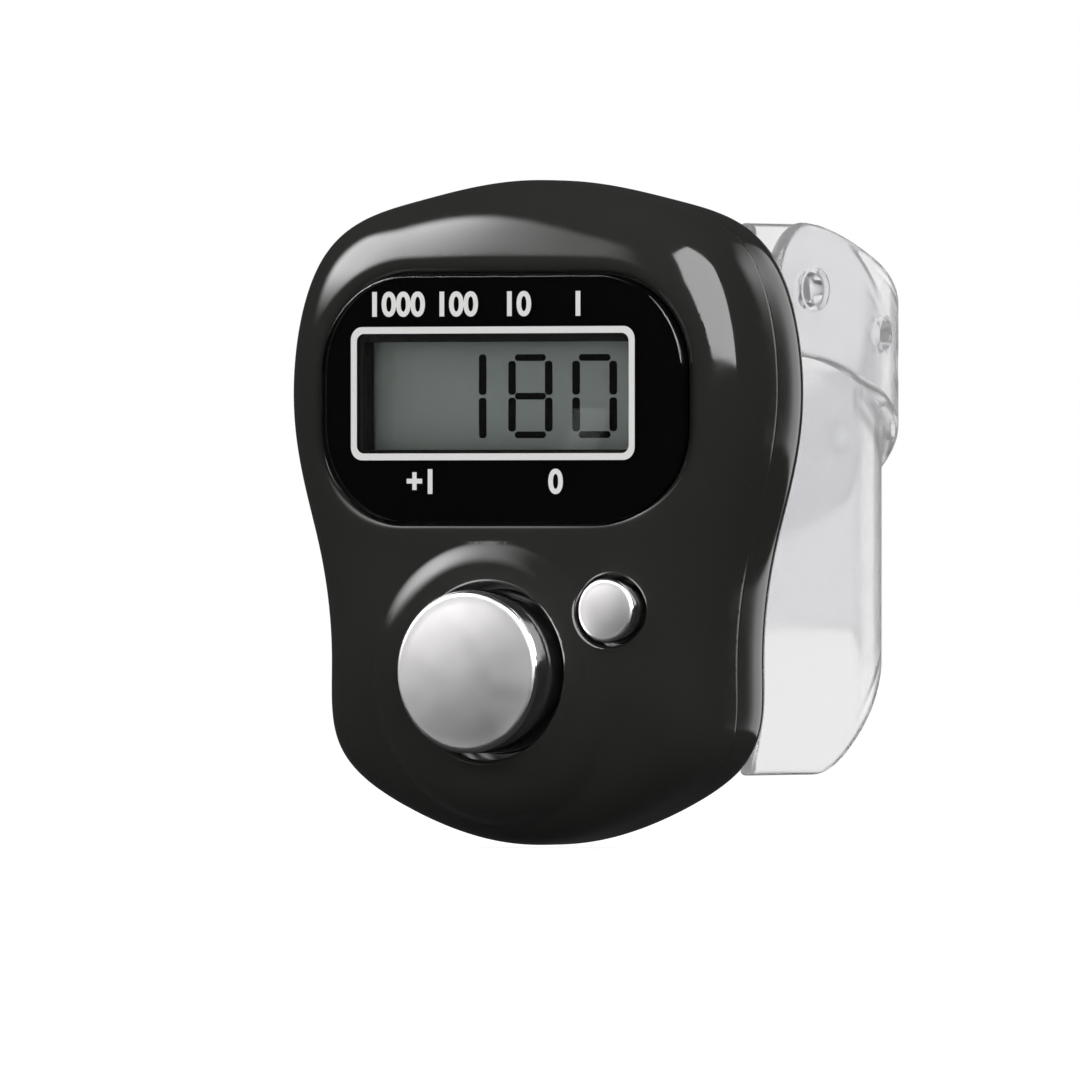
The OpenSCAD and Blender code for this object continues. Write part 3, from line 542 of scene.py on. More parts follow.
def shellSkin(name, side):
    # Outer form of one shell down to the parting line, where a small round leaves a fine line
    shrink, height = evenProfile(body["rings"])
    curve = outlineCurve(0, body["around"])
    x, z = shrink[:, None] * curve[:, 0], shrink[:, None] * curve[:, 1]
    top = height[:, None] * body["halfDepth"] + 0 * x
    edge, keep = body["partingRound"], top[:, 0] > body["partingRound"] * 1.5
    lifted = skinHeight(x, z, side)
    top = np.minimum(top, lifted) if side > 0 else np.maximum(top, lifted)
    turn = np.linspace(0, pi / 2, 5)[:, None]
    rim = 1 - edge / np.hypot(*curve.T) * (1 - np.cos(turn))
    x = np.concatenate([x[keep], rim * curve[:, 0]])
    z = np.concatenate([z[keep], rim * curve[:, 1]])
    top = np.concatenate([top[keep], edge * (1 - np.sin(turn)) + 0 * rim])
    pole = float(skinHeight(np.array([0.0]), np.array([1e-6]), side)[0])
    return lofted(name, np.stack([x, side * top, z], -1), (0, side * pole, 0), (0, 0, 0))


def outlineTool(inset, y0, y1, around=200):
    # The body's outline drawn in and carried from y0 back to y1
    return prism("tool", outlineCurve(inset, around), y0, y1)


glass = {"x": -0.27625, "w": 22.4, "frontZ": 6.2455, "frontH": 11.3, "rearZ": 7.1955, "rearH": 9.4,
         "y": -4.2, "t": 0.8, "frameW": 24.4, "ribGap": 0.1, "ribT": 0.8, "ribHalf": 3, "ribY": -2.4}
screws = {"places": [(6.5, 16.2975), (-6.5, 16.2975), (6.7925, -15.3955), (-6.7925, -15.3955)],
           "postR": 1.9, "postTop": 4.1, "boreTop": 3.7, "tubeR": 2.2, "r": 0.8, "headR": 1.5, "headT": 1,
           "length": 6, "seatY": 2.7}
boardPosts = {"places": [(11, -1.9545), (-11, -1.9545)], "r": 1.3, "low": 0.6, "bore": 0.55, "boreTop": 2.8}
door = {"z": 1.599, "r": 8, "tailZ": -8.001, "tailR": 3, "y": 5.6, "gap": 0.12, "ledgeW": 1.3, "ledgeT": 1.2,
        "padR": 5, "padY": 4.35, "postR": 2, "postY": 1.2, "bore": 0.85, "boreY": 1.6, "hole": 0.9,
        "edge": 0.18, "headR": 1.5, "headT": 0.8}
cell = {"r": 5.8, "wellR": 6.1, "wellWall": 1, "wellY": 0.3, "slotHalf": 1.4, "sideGap": 0.35,
        "sideY": 4.25, "leafOut": 1, "leafY": 0.7}
strap = {"r": 10.5, "panelT": 1.1, "tongueT": 1.0, "rootW": 34, "bandW": 16, "z": 0.8405, "tabZ": 3.485,
         "tabW": 20, "rootY": 2.6, "hookY": 4.1, "hookW": 1.1, "edge": 0.42, "frontY": 5.2, "clear": 0.3,
         "wrap": 155, "gap": 0.05, "tipY": 7.8, "tipZ": 13.7965, "tongueR": 4.15, "holeR": 1, "pitch": 4.2,
         "spare": 5.6, "holes": 5, "holeSoft": 0.22, "neckR": 0.85, "headR": 1.35, "headT": 0.7,
         "riseL": 37, "flareL": 9, "flareStart": 4.8, "flareRun": 15.5, "stepAt": 160, "stepRun": 16,
         "postHalf": 1.3, "postEnd": 1.2}


def frontShell():
    # Outer skin less a hollow that leaves posts, guides and ribs, and less the pocket and all holes
    b, p, g, w = countButton, screws, glass, window
    skin = shellSkin("shell_face", -1)
    cavity = crownedSolid(-1, 1)
    top = -body["halfDepth"] - 0.5
    inner = [prism("tool", roundedOutline(lens, 1), top, g["y"])]
    near, low, high = g["frameW"] / 2 + g["ribGap"], g["frontZ"] - g["ribHalf"], g["frontZ"] + g["ribHalf"]
    for i in (-1, 1):
        x = sorted((g["x"] + i * near, g["x"] + i * (near + g["ribT"])))
        inner.append(boxTool(x[0], top, low, x[1], g["ribY"], high))
    for q in (b, resetButton):
        inner += discs([(q["x"], q["z"])], q["guideR"] + b["guideWall"], b["seatH"] - b["guideH"], 8, 96)
    inner += discs(p["places"], p["postR"], p["postTop"], 0)
    inner += discs(boardPosts["places"], boardPosts["r"], boardPosts["low"], 7)
    booleanOf(cavity, inner)
    cutters = [pocketTool(), boxTool(w["x"] - w["w"] / 2, -7, w["z"] - w["h"] / 2,
                                     w["x"] + w["w"] / 2, -3, w["z"] + w["h"] / 2)]
    a = np.linspace(0, 2 * pi, 160, endpoint=False)
    outward = np.stack([np.cos(a), np.sin(a)], 1)
    for q in (b, resetButton):
        base = outward * (q["r"] + q["gap"]) + (q["x"], q["z"])
        rows = [np.insert(base, 1, -1, axis=1)] + rimRows(base, outward, q["holeEdge"], q["holeEdge"])
        ends = [(q["x"], y, q["z"]) for y in (-1, body["cutterY"])]
        cutters.append(lofted("tool", np.array(rows), *ends))
        cutters += discs([(q["x"], q["z"])], q["guideR"], 1.5, b["seatH"], 96)
    cutters += discs(p["places"], p["r"] + 0.05, -1, p["boreTop"], 32)
    cutters += discs(boardPosts["places"], boardPosts["bore"], -1, boardPosts["boreTop"], 32)
    rebate = outlineTool(body["rebateInset"], body["rebateY"], 1)
    booleanOf(rebate, [outlineTool(body["rebateInset"] + 0.7, -1.5, 2)])
    booleanOf(skin, [cavity, rebate] + cutters)
    return finished(weighted(shaded(skin, 30)), absBlack, "body", "abs_black", "front_shell")


def doorOutline(grow, steps=72):
    # Round plate with a narrower tail towards the door screw
    r, t = door["r"] + grow, door["tailR"] + grow
    meet = np.arccos(t / r)
    a = np.linspace(-meet, pi + meet, steps)
    c = np.linspace(pi, 2 * pi, steps // 2)
    bowl = np.stack([r * np.cos(a), door["z"] + r * np.sin(a)], 1)
    tail = np.stack([t * np.cos(c), door["tailZ"] + t * np.sin(c)], 1)
    return np.concatenate([bowl, tail])


def strapEnds(grow=0):
    # Lowest and highest z of the strap's roots
    return strap["tabZ"] - strap["tabW"] / 2 - grow, strap["tabZ"] + strap["tabW"] / 2 + grow


def strapSlot(side, t):
    # Slot of one strap root through the back, and the wider room of its hook
    s = strap
    z0, z1 = strapEnds(0.1)
    x = sorted((side * (s["r"] - 0.05), side * (s["r"] + t + 0.05)))
    xh = sorted((side * (s["r"] - s["hookW"] - 0.1), side * (s["r"] + t + 0.1)))
    return [boxTool(x[0], s["hookY"] - 1, z0, x[1], 9, z1),
            boxTool(xh[0], s["rootY"] - 0.1, z0, xh[1], s["hookY"] + 0.1, z1)]


def backShell():
    # Outer skin with its lip, less a hollow that leaves the cell well, posts and tubes, and less the
    # door's recess, the strap slots and all holes
    p, d, c, s = screws, door, cell, strap
    skin = shellSkin("shell_back", 1)
    booleanOf(skin, [outlineTool(body["lipInset"], -body["lipHeight"], body["lipHeight"])], "UNION")
    cavity = crownedSolid(1, 1.8)
    ring = c["wellR"] + c["wellWall"]
    inner = discs([(0, d["z"])], ring, -c["wellY"], -7, 128)
    inner.append(prism("tool", doorOutline(d["gap"] + d["ledgeW"]), d["y"] - d["ledgeT"], 7))
    inner += discs([(0, d["tailZ"])], d["postR"], -d["postY"], -7) + discs(p["places"], p["tubeR"], 0, -7)
    z0, z1 = strapEnds(s["postEnd"])
    for x in (-s["r"] - s["panelT"] / 2, s["r"] + s["panelT"] / 2):
        inner.append(boxTool(x - s["postHalf"], s["hookY"] + 0.1, z0, x + s["postHalf"], 7, z1))
    booleanOf(cavity, inner)
    low, high = d["z"] - c["slotHalf"], d["z"] + c["slotHalf"]
    cutters = [prism("tool", doorOutline(d["gap"]), d["y"], 9)] + discs([(0, d["z"])], c["wellR"], 2, -7, 128)
    cutters += [boxTool(0, -2, low, c["r"] + c["sideGap"], c["sideY"], high),
                boxTool(0, -2, low, ring + c["leafOut"], c["leafY"], high)]
    cutters += discs([(0, d["tailZ"])], d["bore"], -d["boreY"], -7, 32)
    bore, head, seat = p["r"] + 0.1, p["headR"] + 0.1, -p["seatY"]
    sink = [(0, 2), (bore, 2), (bore, seat), (head, seat), (head, -9), (0, -9)]
    cutters += [turned("tool", sink, x, z, 48) for x, z in p["places"]]
    cutters += strapSlot(1, s["panelT"]) + strapSlot(-1, s["tongueT"])
    booleanOf(skin, [cavity] + cutters)
    return finished(weighted(shaded(skin, 30)), absBlack, "body", "abs_black", "back_shell")


frontShell()
backShell()
print("shells done")


def lensBlank():
    # Flat plate with round corners, its front edge a quarter round
    q, e = lens, lens["edge"]
    rim = [(e * (1 - cos(t)), q["faceY"] + e * (1 - sin(t))) for t in np.linspace(0, pi / 2, 9)]
    rows = [np.insert(roundedOutline(q, -inset, 24), 1, y, axis=1) for inset, y in [(0, q["backY"])] + rim]
    return lofted("lens_blank", np.array(rows), (q["x"], q["backY"], q["z"]), (q["x"], q["faceY"], q["z"]))


finished(shaded(lensBlank(), 40), acrylic, "body", "lens_acrylic", "display_lens")

# Black is printed behind the window, white on its face. The line's inner corners have a radius of
# innerR less its width.
printing = {"inset": 0.15, "blackY": (-5.63, -5.61),
            "line": 0.42, "innerR": 0.92, "whiteY": (-6.562, -6.54),
            "clearing": {"x": -0.5, "z": 7.33, "w": 19.2, "h": 7.4, "r": 0.5},
            "frame": {"x": -0.16, "z": 7.34, "w": 20.12, "h": 8.2, "r": 0.8}}


def printedPlate(name, outer, inner, y, ink):
    # Thin layer of ink between two outlines
    layer = booleanOf(prism(name, outer, *y), [prism("tool", inner, y[0] - 1, y[1] + 1)])
    return finished(layer, ink, "body", "lens_acrylic")


q = printing
printedPlate("lens_print_black", roundedOutline(lens, -q["inset"]), roundedOutline(q["clearing"]),
             q["blackY"], inkBlack)
printedPlate("lens_print_line", roundedOutline(q["frame"]),
             roundedOutline({**q["frame"], "r": q["innerR"]}, -q["line"]), q["whiteY"], inkWhite)

# Plain numbers over the digits they stand for, and +1 and 0 for the two buttons
legends = {"size": 2.05, "bold": 0.065, "thick": 0.009,
           "places": [("1000", -7.0, 12.75), ("100", -2.72, 12.75), ("10", 1.56, 12.75), ("1", 5.9, 12.75),
                      ("+1", -5.18, 1.85), ("0", 4.32, 1.85)]}


def numberPiece(text, x, z):
    # Thin solid digits on the lens, made a mesh before they are set in their place
    curve = bpy.data.curves.new("number", "FONT")
    curve.body = text
    curve.size, curve.offset, curve.extrude = [legends[key] / 1000 for key in ("size", "bold", "thick")]
    curve.align_x = curve.align_y = "CENTER"
    curve.resolution_u = 6
    flat = linked("number", curve)
    mesh = bpy.data.meshes.new_from_object(flat.evaluated_get(bpy.context.evaluated_depsgraph_get()))
    bpy.data.objects.remove(flat)
    points = pointsOf(mesh)[:, [0, 2, 1]] * (1, -1, 1) + place((x, lens["faceY"] - 0.003, z))
    mesh.vertices.foreach_set("co", points.ravel())
    return linked("number", mesh)


finished(joined("lens_print_numbers", [numberPiece(*spot) for spot in legends["places"]]), inkWhite,
         "body", "lens_acrylic")


def glassPlate(name, z, w, h, front, back, edge):
    # Thin plate of the display with broken edges, its depth counted from the front of the glass
    x0, x1, z0, z1 = glass["x"] - w / 2, glass["x"] + w / 2, z - h / 2, z + h / 2
    piece = prism(name, [(x0, z0), (x1, z0), (x1, z1), (x0, z1)], glass["y"] + front, glass["y"] + back)
    bevel = piece.modifiers.new("edge", "BEVEL")
    bevel.width, bevel.segments, bevel.limit_method = edge / 1000, 2, "NONE"
    return shaded(settled(piece), 40)


g, t = glass, glass["t"]
finished(glassPlate("display_front_glass", g["frontZ"], g["w"], g["frontH"], 0, t - 0.02, 0.06),
         sodaGlass, "body", "lcd_glass", "lcd_glass")
finished(glassPlate("display_rear_plate", g["rearZ"], g["w"], g["rearH"], t + 0.02, 2 * t - 0.02, 0.06),
         crystalField, "body", "lcd_glass", "lcd_glass")
finished(glassPlate("display_reflector", g["rearZ"], g["w"] - 0.8, g["rearH"] - 0.8, 2 * t, 2 * t + 0.2,
                    0.03), film, "body", "reflector_film", "lcd_reflector")

digits = {"topZ": 9.68, "lowZ": 4.64, "bar": 0.4, "post": 0.52, "side": 0.46, "shoulder": 0.4, "gap": 0.09,
          "cut": 0.13, "y": (-3.41, -3.39), "lit": {"0": "abcdef", "8": "abcdefg", "1": "bc"},
          "places": [("0", 4.02, 7.13), ("8", -0.45, 2.63), ("1", -5.08, -2.0)]}


def cutBar(xa, za, xb, zb):
    # Rectangle with its corners cut off
    c = digits["cut"]
    return [(xa + c, za), (xb - c, za), (xb, za + c), (xb, zb - c),
            (xb - c, zb), (xa + c, zb), (xa, zb - c), (xa, za + c)]


def segmentShapes(x0, x1, shoulder):
    # Seven bars of one digit with cut corners, as outlines in x and z. The posts keep a shoulder's
    # height off its top and foot where a level bar turns the corner.
    d = digits
    top, low, mid, gap = d["topZ"], d["lowZ"], (d["topZ"] + d["lowZ"]) / 2, d["gap"]
    level = {"a": top - d["bar"], "g": mid - d["bar"] / 2, "d": low}
    posts = {"f": (x0, mid + gap, top - shoulder), "b": (x1 - d["post"], mid + gap, top - shoulder),
             "e": (x0, low + shoulder, mid - gap), "c": (x1 - d["post"], low + shoulder, mid - gap)}
    shapes = {k: cutBar(x0 + d["side"], z, x1 - d["side"], z + d["bar"]) for k, z in level.items()}
    return shapes | {k: cutBar(x, za, x + d["post"], zb) for k, (x, za, zb) in posts.items()}


bars = []
for digit, x0, x1 in digits["places"]:
    shapes = segmentShapes(x0, x1, 0 if digit == "1" else digits["shoulder"])
    bars += [prism("bar", shapes[k], *digits["y"]) for k in digits["lit"][digit]]
finished(joined("display_digits", bars), segmentBlack, "body", "lcd_glass")
print("lens and display done")


def domeProfile(radius, height, sag, steps=10):
    # Points of a shallow parabolic dome from the axis out to a radius
    return [(r, height - sag * (r / radius) ** 2) for r in np.linspace(0, radius, steps)]


def buttonCap(name, q, hollow, chrome, bodyName):
    # Domed cap with a rounded edge, its flange and stem, turned from its profile
    b, edge, soft = countButton, q["edge"], 0.12
    low, roof = b["seatH"] - b["flangeT"], q["faceH"] - b["wall"]
    profile = domeProfile(q["r"] - edge, q["faceH"], q["dome"])
    profile += rounding((q["r"] - edge, q["faceH"] - q["dome"] - edge), edge, 88, 0, 7)
    profile += [(q["r"], b["seatH"] + 0.08), (q["r"] + 0.08, b["seatH"])]
    profile += rounding((q["flangeR"] - soft, b["seatH"] - soft), soft, 90, 0, 4)
    profile += rounding((q["flangeR"] - soft, low + soft), soft, 0, -90, 4)
    inner, core = q["r"] - b["wall"], q["stemR"]
    profile += [(inner, low), (inner, roof), (core, roof)] if hollow else [(core, low)]
    profile += [(core, b["domeH"] + 0.1), (core - 0.1, b["domeH"]), (0, b["domeH"])]
    cap = shaded(turned(name, profile, q["x"], q["z"], 192), 35)
    return finished(cap, chrome, bodyName, "cap_chrome", bodyName)


buttonCap("count_cap", countButton, True, chromeLarge, "count_button")
buttonCap("reset_cap", resetButton, False, chromeSmall, "reset_button")

domes = {"footT": 0.5, "footW": 1, "skin": 0.35, "plunger": 1.25, "boardH": 0.6, "topH": 3.6}


def springDome(name, q, footR, plungerR, node):
    # Foot, curved thin skirt and solid plunger of one silicone spring, turned from its profile
    d = domes
    low, foot, innerR = d["topH"] - d["plunger"], d["boardH"] + d["footT"], footR - d["footW"]
    outerR, skin, t = innerR + d["skin"], d["skin"], np.linspace(0, 1, 9)
    profile = [(0, d["topH"])] + rounding((plungerR - 0.2, d["topH"] - 0.2), 0.2, 90, 0, 5)
    profile += list(zip(plungerR + (outerR - plungerR) * t, low + skin + (foot - low - skin) * eased(t)))
    profile += rounding((footR - 0.12, foot - 0.12), 0.12, 90, 0, 4)
    profile += [(footR, d["boardH"] + 0.05), (footR - 0.05, d["boardH"]), (innerR, d["boardH"])]
    profile += list(zip(innerR + (plungerR - skin - innerR) * t, foot + (low - foot) * eased(t)))
    piece = shaded(turned(name, profile + [(0, low)], q["x"], q["z"], 96), 40)
    finished(piece, domeRubber, "body", "dome_silicone", node)
    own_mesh(piece)


springDome("count_spring", countButton, 4, 1.9, "count_dome")
springDome("reset_spring", resetButton, 2.6, 1.1, "reset_dome")
print("buttons done")


def panHead(name, x, z, y, q, shankL):
    # Pan-head screw standing towards the back: domed head, cross recess and a threaded shank whose
    # radius swings with a fine pitch
    shankR, headR, headT, top = 0.8, q["headR"], q["headT"], y + q["headT"]
    edge, sag, pitch, thread = 0.3 * headT, 0.12, 0.5, 0.12
    depth = np.linspace(y - shankL, y - 0.05, int(shankL / 0.1))
    core = shankR - thread * (0.5 + 0.5 * np.cos(2 * pi * (depth - depth[0]) / pitch))
    core[:4] *= np.linspace(0.5, 0.95, 4)
    profile = [(0, -depth[0])] + [(r, -d) for r, d in zip(core, depth)]
    profile += [(shankR, -y), (headR - 0.05, -y), (headR, -y - 0.05)]
    profile += [(p, -h) for p, h in rounding((headR - edge, top - sag - edge), edge, 0, 80, 5)]
    profile += [(r, -(top - sag * (r / headR) ** 2)) for r in np.linspace(headR - edge, 0, 5)]
    reach, half, deep = headR * 0.7, headR * 0.16, y + headT * 0.5
    slots = [boxTool(x - w, deep, z - h, x + w, top + 1, z + h) for w, h in ((reach, half), (half, reach))]
    return booleanOf(turned(name, profile, x, z, 64), slots)


caseScrews = joined("screws_case", [panHead("screw", x, z, screws["seatY"], screws, screws["length"])
                                    for x, z in screws["places"]])
finished(shaded(caseScrews, 35), screwSteel, "body", "screw_steel", "case_screws")
doorSeat = body["backY"] - door["headT"] - 0.05
finished(shaded(panHead("screw_door", 0, door["tailZ"], doorSeat, door, 4), 35), screwSteel,
         "battery_door", "screw_steel", "door_screw")


def batteryDoor():
    # Flat plate with a softened outer edge, a pad that presses the cell and a countersunk screw hole
    d = door
    flat = doorOutline(0, 96)
    middleZ = (d["z"] + d["tailZ"]) / 2
    away = flat - (0, middleZ)
    away /= np.hypot(*away.T)[:, None]
    rows = [np.insert(flat, 1, d["y"], axis=1)]
    for t in np.linspace(0, pi / 2, 5):
        drawn = flat - away * d["edge"] * (1 - cos(t))
        rows.append(np.insert(drawn, 1, body["backY"] - d["edge"] * (1 - sin(t)), axis=1))
    piece = lofted("door_plate", np.array(rows), (0, d["y"], middleZ), (0, body["backY"], middleZ))
    r, y = d["padR"], -d["padY"]
    pad = [(0, y), (r - 0.2, y), (r, y - 0.2), (r, -6), (0, -6)]
    booleanOf(piece, [turned("tool", pad, 0, d["z"], 96)], "UNION")
    r, head = d["hole"], d["headR"] + 0.1
    sink = [(0, -3), (r, -3), (r, -doorSeat), (head, -doorSeat), (head, -9), (0, -9)]
    booleanOf(piece, [turned("tool", sink, 0, d["tailZ"], 64)])
    return finished(shaded(piece, 28), absBlack, "battery_door", "abs_black", "battery_door")


batteryDoor()
print("door and screws done")


def sheetSolid(name, x, y, z, angle, distance, t):
    # Closed sheet from its middle surface, rows along it and columns across. Half the thickness is
    # laid off on both sides along the loop's radius. It grows with the distance from a border as a
    # quarter of an ellipse, and along all four borders both sides share their points.
    share = np.clip(distance / strap["edge"], 0, 1)
    half = t / 2 * np.sqrt(np.clip(1 - (1 - share) ** 2, 0, 1))
    half[0], half[-1], half[:, 0], half[:, -1] = 0, 0, 0, 0
    middle = np.stack([x, y, z], -1)
    lift = np.stack([np.cos(angle)[:, None] * half, np.sin(angle)[:, None] * half, 0 * half], -1)
    inner = np.zeros(half.shape, bool)
    inner[1:-1, 1:-1] = True
    front = np.arange(half.size).reshape(half.shape)
    back = front.copy()
    back[inner] = half.size + np.arange(inner.sum())
    points = np.concatenate([(middle + lift).reshape(-1, 3), (middle - lift)[inner]])

    def quads(index):
        return np.stack([index[:-1, :-1], index[:-1, 1:], index[1:, 1:], index[1:, :-1]], -1).reshape(-1, 4)
    return meshPiece(name, points, [quads(front), quads(back)[:, ::-1]])


def borderSteps(edge):
    # Distances from a border out to edge, close at first: one less a cosine
    return edge * (1 - np.cos(np.linspace(0, pi / 2, 7)))


def acrossSamples(half, inner=26):
    # Places across a width, close at both borders, in the shape of half plus one axis
    e = np.minimum(strap["edge"], half * 0.5)[..., None]
    wide = e + (half[..., None] - e) * np.linspace(0, 1, inner)[1:]
    side = half[..., None] - np.concatenate([borderSteps(e), wide], -1)
    return np.concatenate([-side, side[..., -2::-1]], -1)


def alongSamples(total, inner, fineStart=True):
    # Places along a length, close at its end and, where asked, at its start
    fine = borderSteps(strap["edge"])
    first, last = fine if fineStart else fine[:1], total - fine[::-1]
    return np.concatenate([first, np.linspace(first[-1], last[0], inner)[1:-1], last])


def strapRoot(side, t):
    # Tab in the shell's slot and the hook on its end
    s = strap
    z0, z1 = strapEnds()
    x = sorted((side * s["r"], side * (s["r"] + t)))
    xh = sorted((side * (s["r"] - s["hookW"]), side * (s["r"] + t - 0.001)))
    return [boxTool(x[0] + 0.02, s["rootY"] + 0.3, z0, x[1] - 0.02, 7, z1),
            boxTool(xh[0], s["rootY"], z0 + 0.02, xh[1] - 0.03, s["hookY"], z1 - 0.02)]


def strapTool(profile, base, bend, back, level, steps):
    # A profile of radius and height turned about a line that leaves the loop's axis at the angle
    # bend. Height counts from base.
    p = np.array(profile)[:, :, None]
    a = np.linspace(0, 2 * pi, steps, endpoint=False)
    reach, aside = base + p[:, 1] + 0 * a, p[:, 0] * np.cos(a)
    rings = np.stack([reach * cos(bend) - aside * sin(bend), reach * sin(bend) + aside * cos(bend) + back,
                      level + p[:, 0] * np.sin(a)], -1)
    return lofted("tool", rings[1:-1], rings[0, 0], rings[-1, 0])


def strapPanel():
    # The panel runs back from the body along its right side and round the finger. Its front edge
    # follows the crown of the back, and its stud has a rounded head.
    s = strap
    t, r = s["panelT"], s["r"] + s["panelT"] / 2
    leg = body["loopY"] - s["frontY"]
    total = leg + r * radians(s["wrap"])
    run = alongSamples(total, 150)
    angle = np.clip(run - leg, 0, None) / r
    back = np.minimum(run - leg, 0) + r * np.sin(angle)
    narrowing = (s["rootW"] - s["bandW"]) / 2 * eased((back + s["flareStart"]) / s["flareRun"])
    half = np.where(angle < pi / 2, s["rootW"] / 2 - narrowing, s["bandW"] / 2)
    z = s["z"] + acrossSamples(half)
    x = (r * np.cos(angle))[:, None] + 0 * z
    y = body["loopY"] + back[:, None] + 0 * z
    # the front edge is drawn back to clear the shell, and the drawing back fades along the leg
    front = np.maximum(s["frontY"], crownHeight(x[0], z[0], -s["clear"]))
    y = np.where(run[:, None] < leg, front + (y - s["frontY"]) * (body["loopY"] - front) / leg, y)
    distance = np.minimum(half[:, None] - np.abs(z - s["z"]), np.minimum(run, total - run)[:, None])
    piece = sheetSolid("strap_wide_half", x, y, z, angle, distance, t)
    neck, head = s["gap"] + s["tongueT"] + 0.05, s["headR"]
    top = neck + s["headT"]
    profile = [(0, -0.5), (s["neckR"], -0.5), (s["neckR"], neck), (head - 0.15, neck)]
    profile += rounding((head - 0.15, neck + 0.15), 0.15, -90, 0, 4)
    profile += rounding((head - 0.35, top - 0.35), 0.35, 0, 85, 6) + [(0, top)]
    stud = strapTool(profile, s["r"] + t, 0, body["loopY"] - s["tipY"], s["tipZ"], 64)
    booleanOf(piece, [stud] + strapRoot(1, t), "UNION")
    return finished(shaded(piece, 30), strapPlastic, "body", "strap_clear", "strap_panel")


def tongueZ(run):
    # Height of the tongue's middle, from the stud's place to the band's
    s = strap
    return s["tipZ"] - (s["tipZ"] - s["z"]) * eased((run + s["tongueR"] / 4) / s["riseL"])


def strapTongue():
    # The tongue starts with a round tip beside the stud, runs back outside the panel, round the
    # finger, steps in behind the panel's end and widens to its root on the left side
    s = strap
    t, tip = s["tongueT"], s["tongueR"]
    pathR = s["r"] + s["panelT"] + s["gap"]
    arc, leg = pathR * pi, body["loopY"] - s["frontY"]
    total = s["tipY"] + arc + leg
    v = np.concatenate([-tip * np.cos(np.linspace(0, pi / 2, 22))[:-1], alongSamples(total, 230, False)])
    angle = np.clip((v - s["tipY"]) / pathR, 0, pi)
    down = np.clip(v - s["tipY"] - arc, 0, None)
    r = pathR - (pathR - s["r"]) * eased((np.degrees(angle) - s["stepAt"]) / s["stepRun"]) + t / 2
    half = np.where(v < 0, np.sqrt(np.clip(tip ** 2 - v ** 2, 1e-6, None)),
                    tip + (s["rootW"] / 2 - tip) * eased(down / s["flareL"]))
    across = acrossSamples(half)
    z = tongueZ(v)[:, None] + across
    x = (r * np.cos(angle))[:, None] + 0 * z
    y = (r * np.sin(angle) + np.minimum(v - s["tipY"], 0) - down)[:, None] + body["loopY"] + 0 * z
    front = np.maximum(s["frontY"], crownHeight(x[-1], z[-1], -s["clear"]))
    share = (down / leg)[:, None]
    y = np.where(share > 0, body["loopY"] - (body["loopY"] - front) * share, y)
    toSide = np.where(v[:, None] < 0, tip - np.hypot(v[:, None], across), half[:, None] - np.abs(across))
    piece = sheetSolid("strap_tongue_half", x, y, z, angle, np.minimum(toSide, (total - v)[:, None]), t)
    # each hole is cut along its own radius, with a softened rim on both sides
    hole, soft = s["holeR"], s["holeSoft"]
    profile = [(0, -1.5), (hole + 0.6, -1.5), (hole + soft, -0.1)]
    profile += rounding((hole + soft, soft), soft, -90, -180, 5)
    profile += rounding((hole + soft, t - soft), soft, 180, 90, 5)
    profile += [(hole + soft, t + 0.1), (hole + 0.6, t + 1.5), (0, t + 1.5)]
    cutters = []
    for k in range(s["holes"]):
        run = k * s["pitch"] + (s["spare"] if k else 0)
        bend, back = max((run - s["tipY"]) / pathR, 0), min(run - s["tipY"], 0) + body["loopY"]
        cutters.append(strapTool(profile, pathR, bend, back, tongueZ(run), 48))
    booleanOf(piece, strapRoot(-1, t), "UNION")
    booleanOf(piece, cutters)
    return finished(shaded(piece, 30), strapPlastic, "body", "strap_clear", "strap_tongue")


strapPanel()
strapTongue()
print("strap done")

# The pieces whose solids already have their real shape take a finish of their own
finishes = {"lens_tape": foamTape, "lcd_frame": frameStyrene, "zebra_strip": zebraRubber,
            "circuit_board": boardLaminate, "controller_blob": epoxyDrop, "board_parts": chipCeramic,
            "board_screws": screwSteel, "count_pill": carbonRubber, "reset_pill": carbonRubber,
            "button_cell": cellSteel, "contact_positive": contactBronze, "contact_negative": contactBronze}
for name, material in finishes.items():
    nodes[name].data.materials.clear()
    nodes[name].data.materials.append(material)
print("finishes done")

view = {"azimuth": 30, "distance": 1600, "frameWidth": 66.5, "aside": -0.49, "up": -1.66, "sensor": 36}


def addCamera():
    # Long lens level with the body, turned about its middle by the azimuth
    v = view
    turn = radians(v["azimuth"])
    right = np.array([cos(turn), sin(turn), 0])
    forward = np.array([-sin(turn), cos(turn), 0])
    target = right * v["aside"] + (0, 0, v["up"])
    data = bpy.data.cameras.new("camera")
    data.sensor_width = v["sensor"]
    data.lens = v["sensor"] * v["distance"] / v["frameWidth"]
    data.clip_start, data.clip_end = 0.01, 50
    camera = linked("camera", data)
    camera.location = place(target - forward * v["distance"])
    camera.rotation_euler = (pi / 2, 0, turn)
    bpy.context.scene.camera = camera


def clearSight(tree, path, where, frontEnd):
    # 1, but 0 in front for a ray that was mirrored inside a clear piece on its way
    y = addNode(tree, "SeparateXYZ", {}, Vector=where).outputs["Y"]
    behind = addNode(tree, "Math", {"operation": "GREATER_THAN", 1: frontEnd}, _0=y)
    unbounced = addNode(tree, "Math", {"operation": "LESS_THAN", 1: 0.5}, _0=path.outputs["Glossy Depth"])
    either = addNode(tree, "Math", {"operation": "MAXIMUM"}, _0=behind.outputs[0], _1=unbounced.outputs[0])
    return either.outputs[0]


def byRay(tree, output, shader, choices):
    # One shader for all rays, then for each kind of ray the one that takes its place
    for ray, other in choices:
        shader = addNode(tree, "MixShader", {}, _0=ray, _1=shader.outputs[0], _2=other.outputs[0])
    tree.links.new(shader.outputs[0], addNode(tree, output).inputs[0])


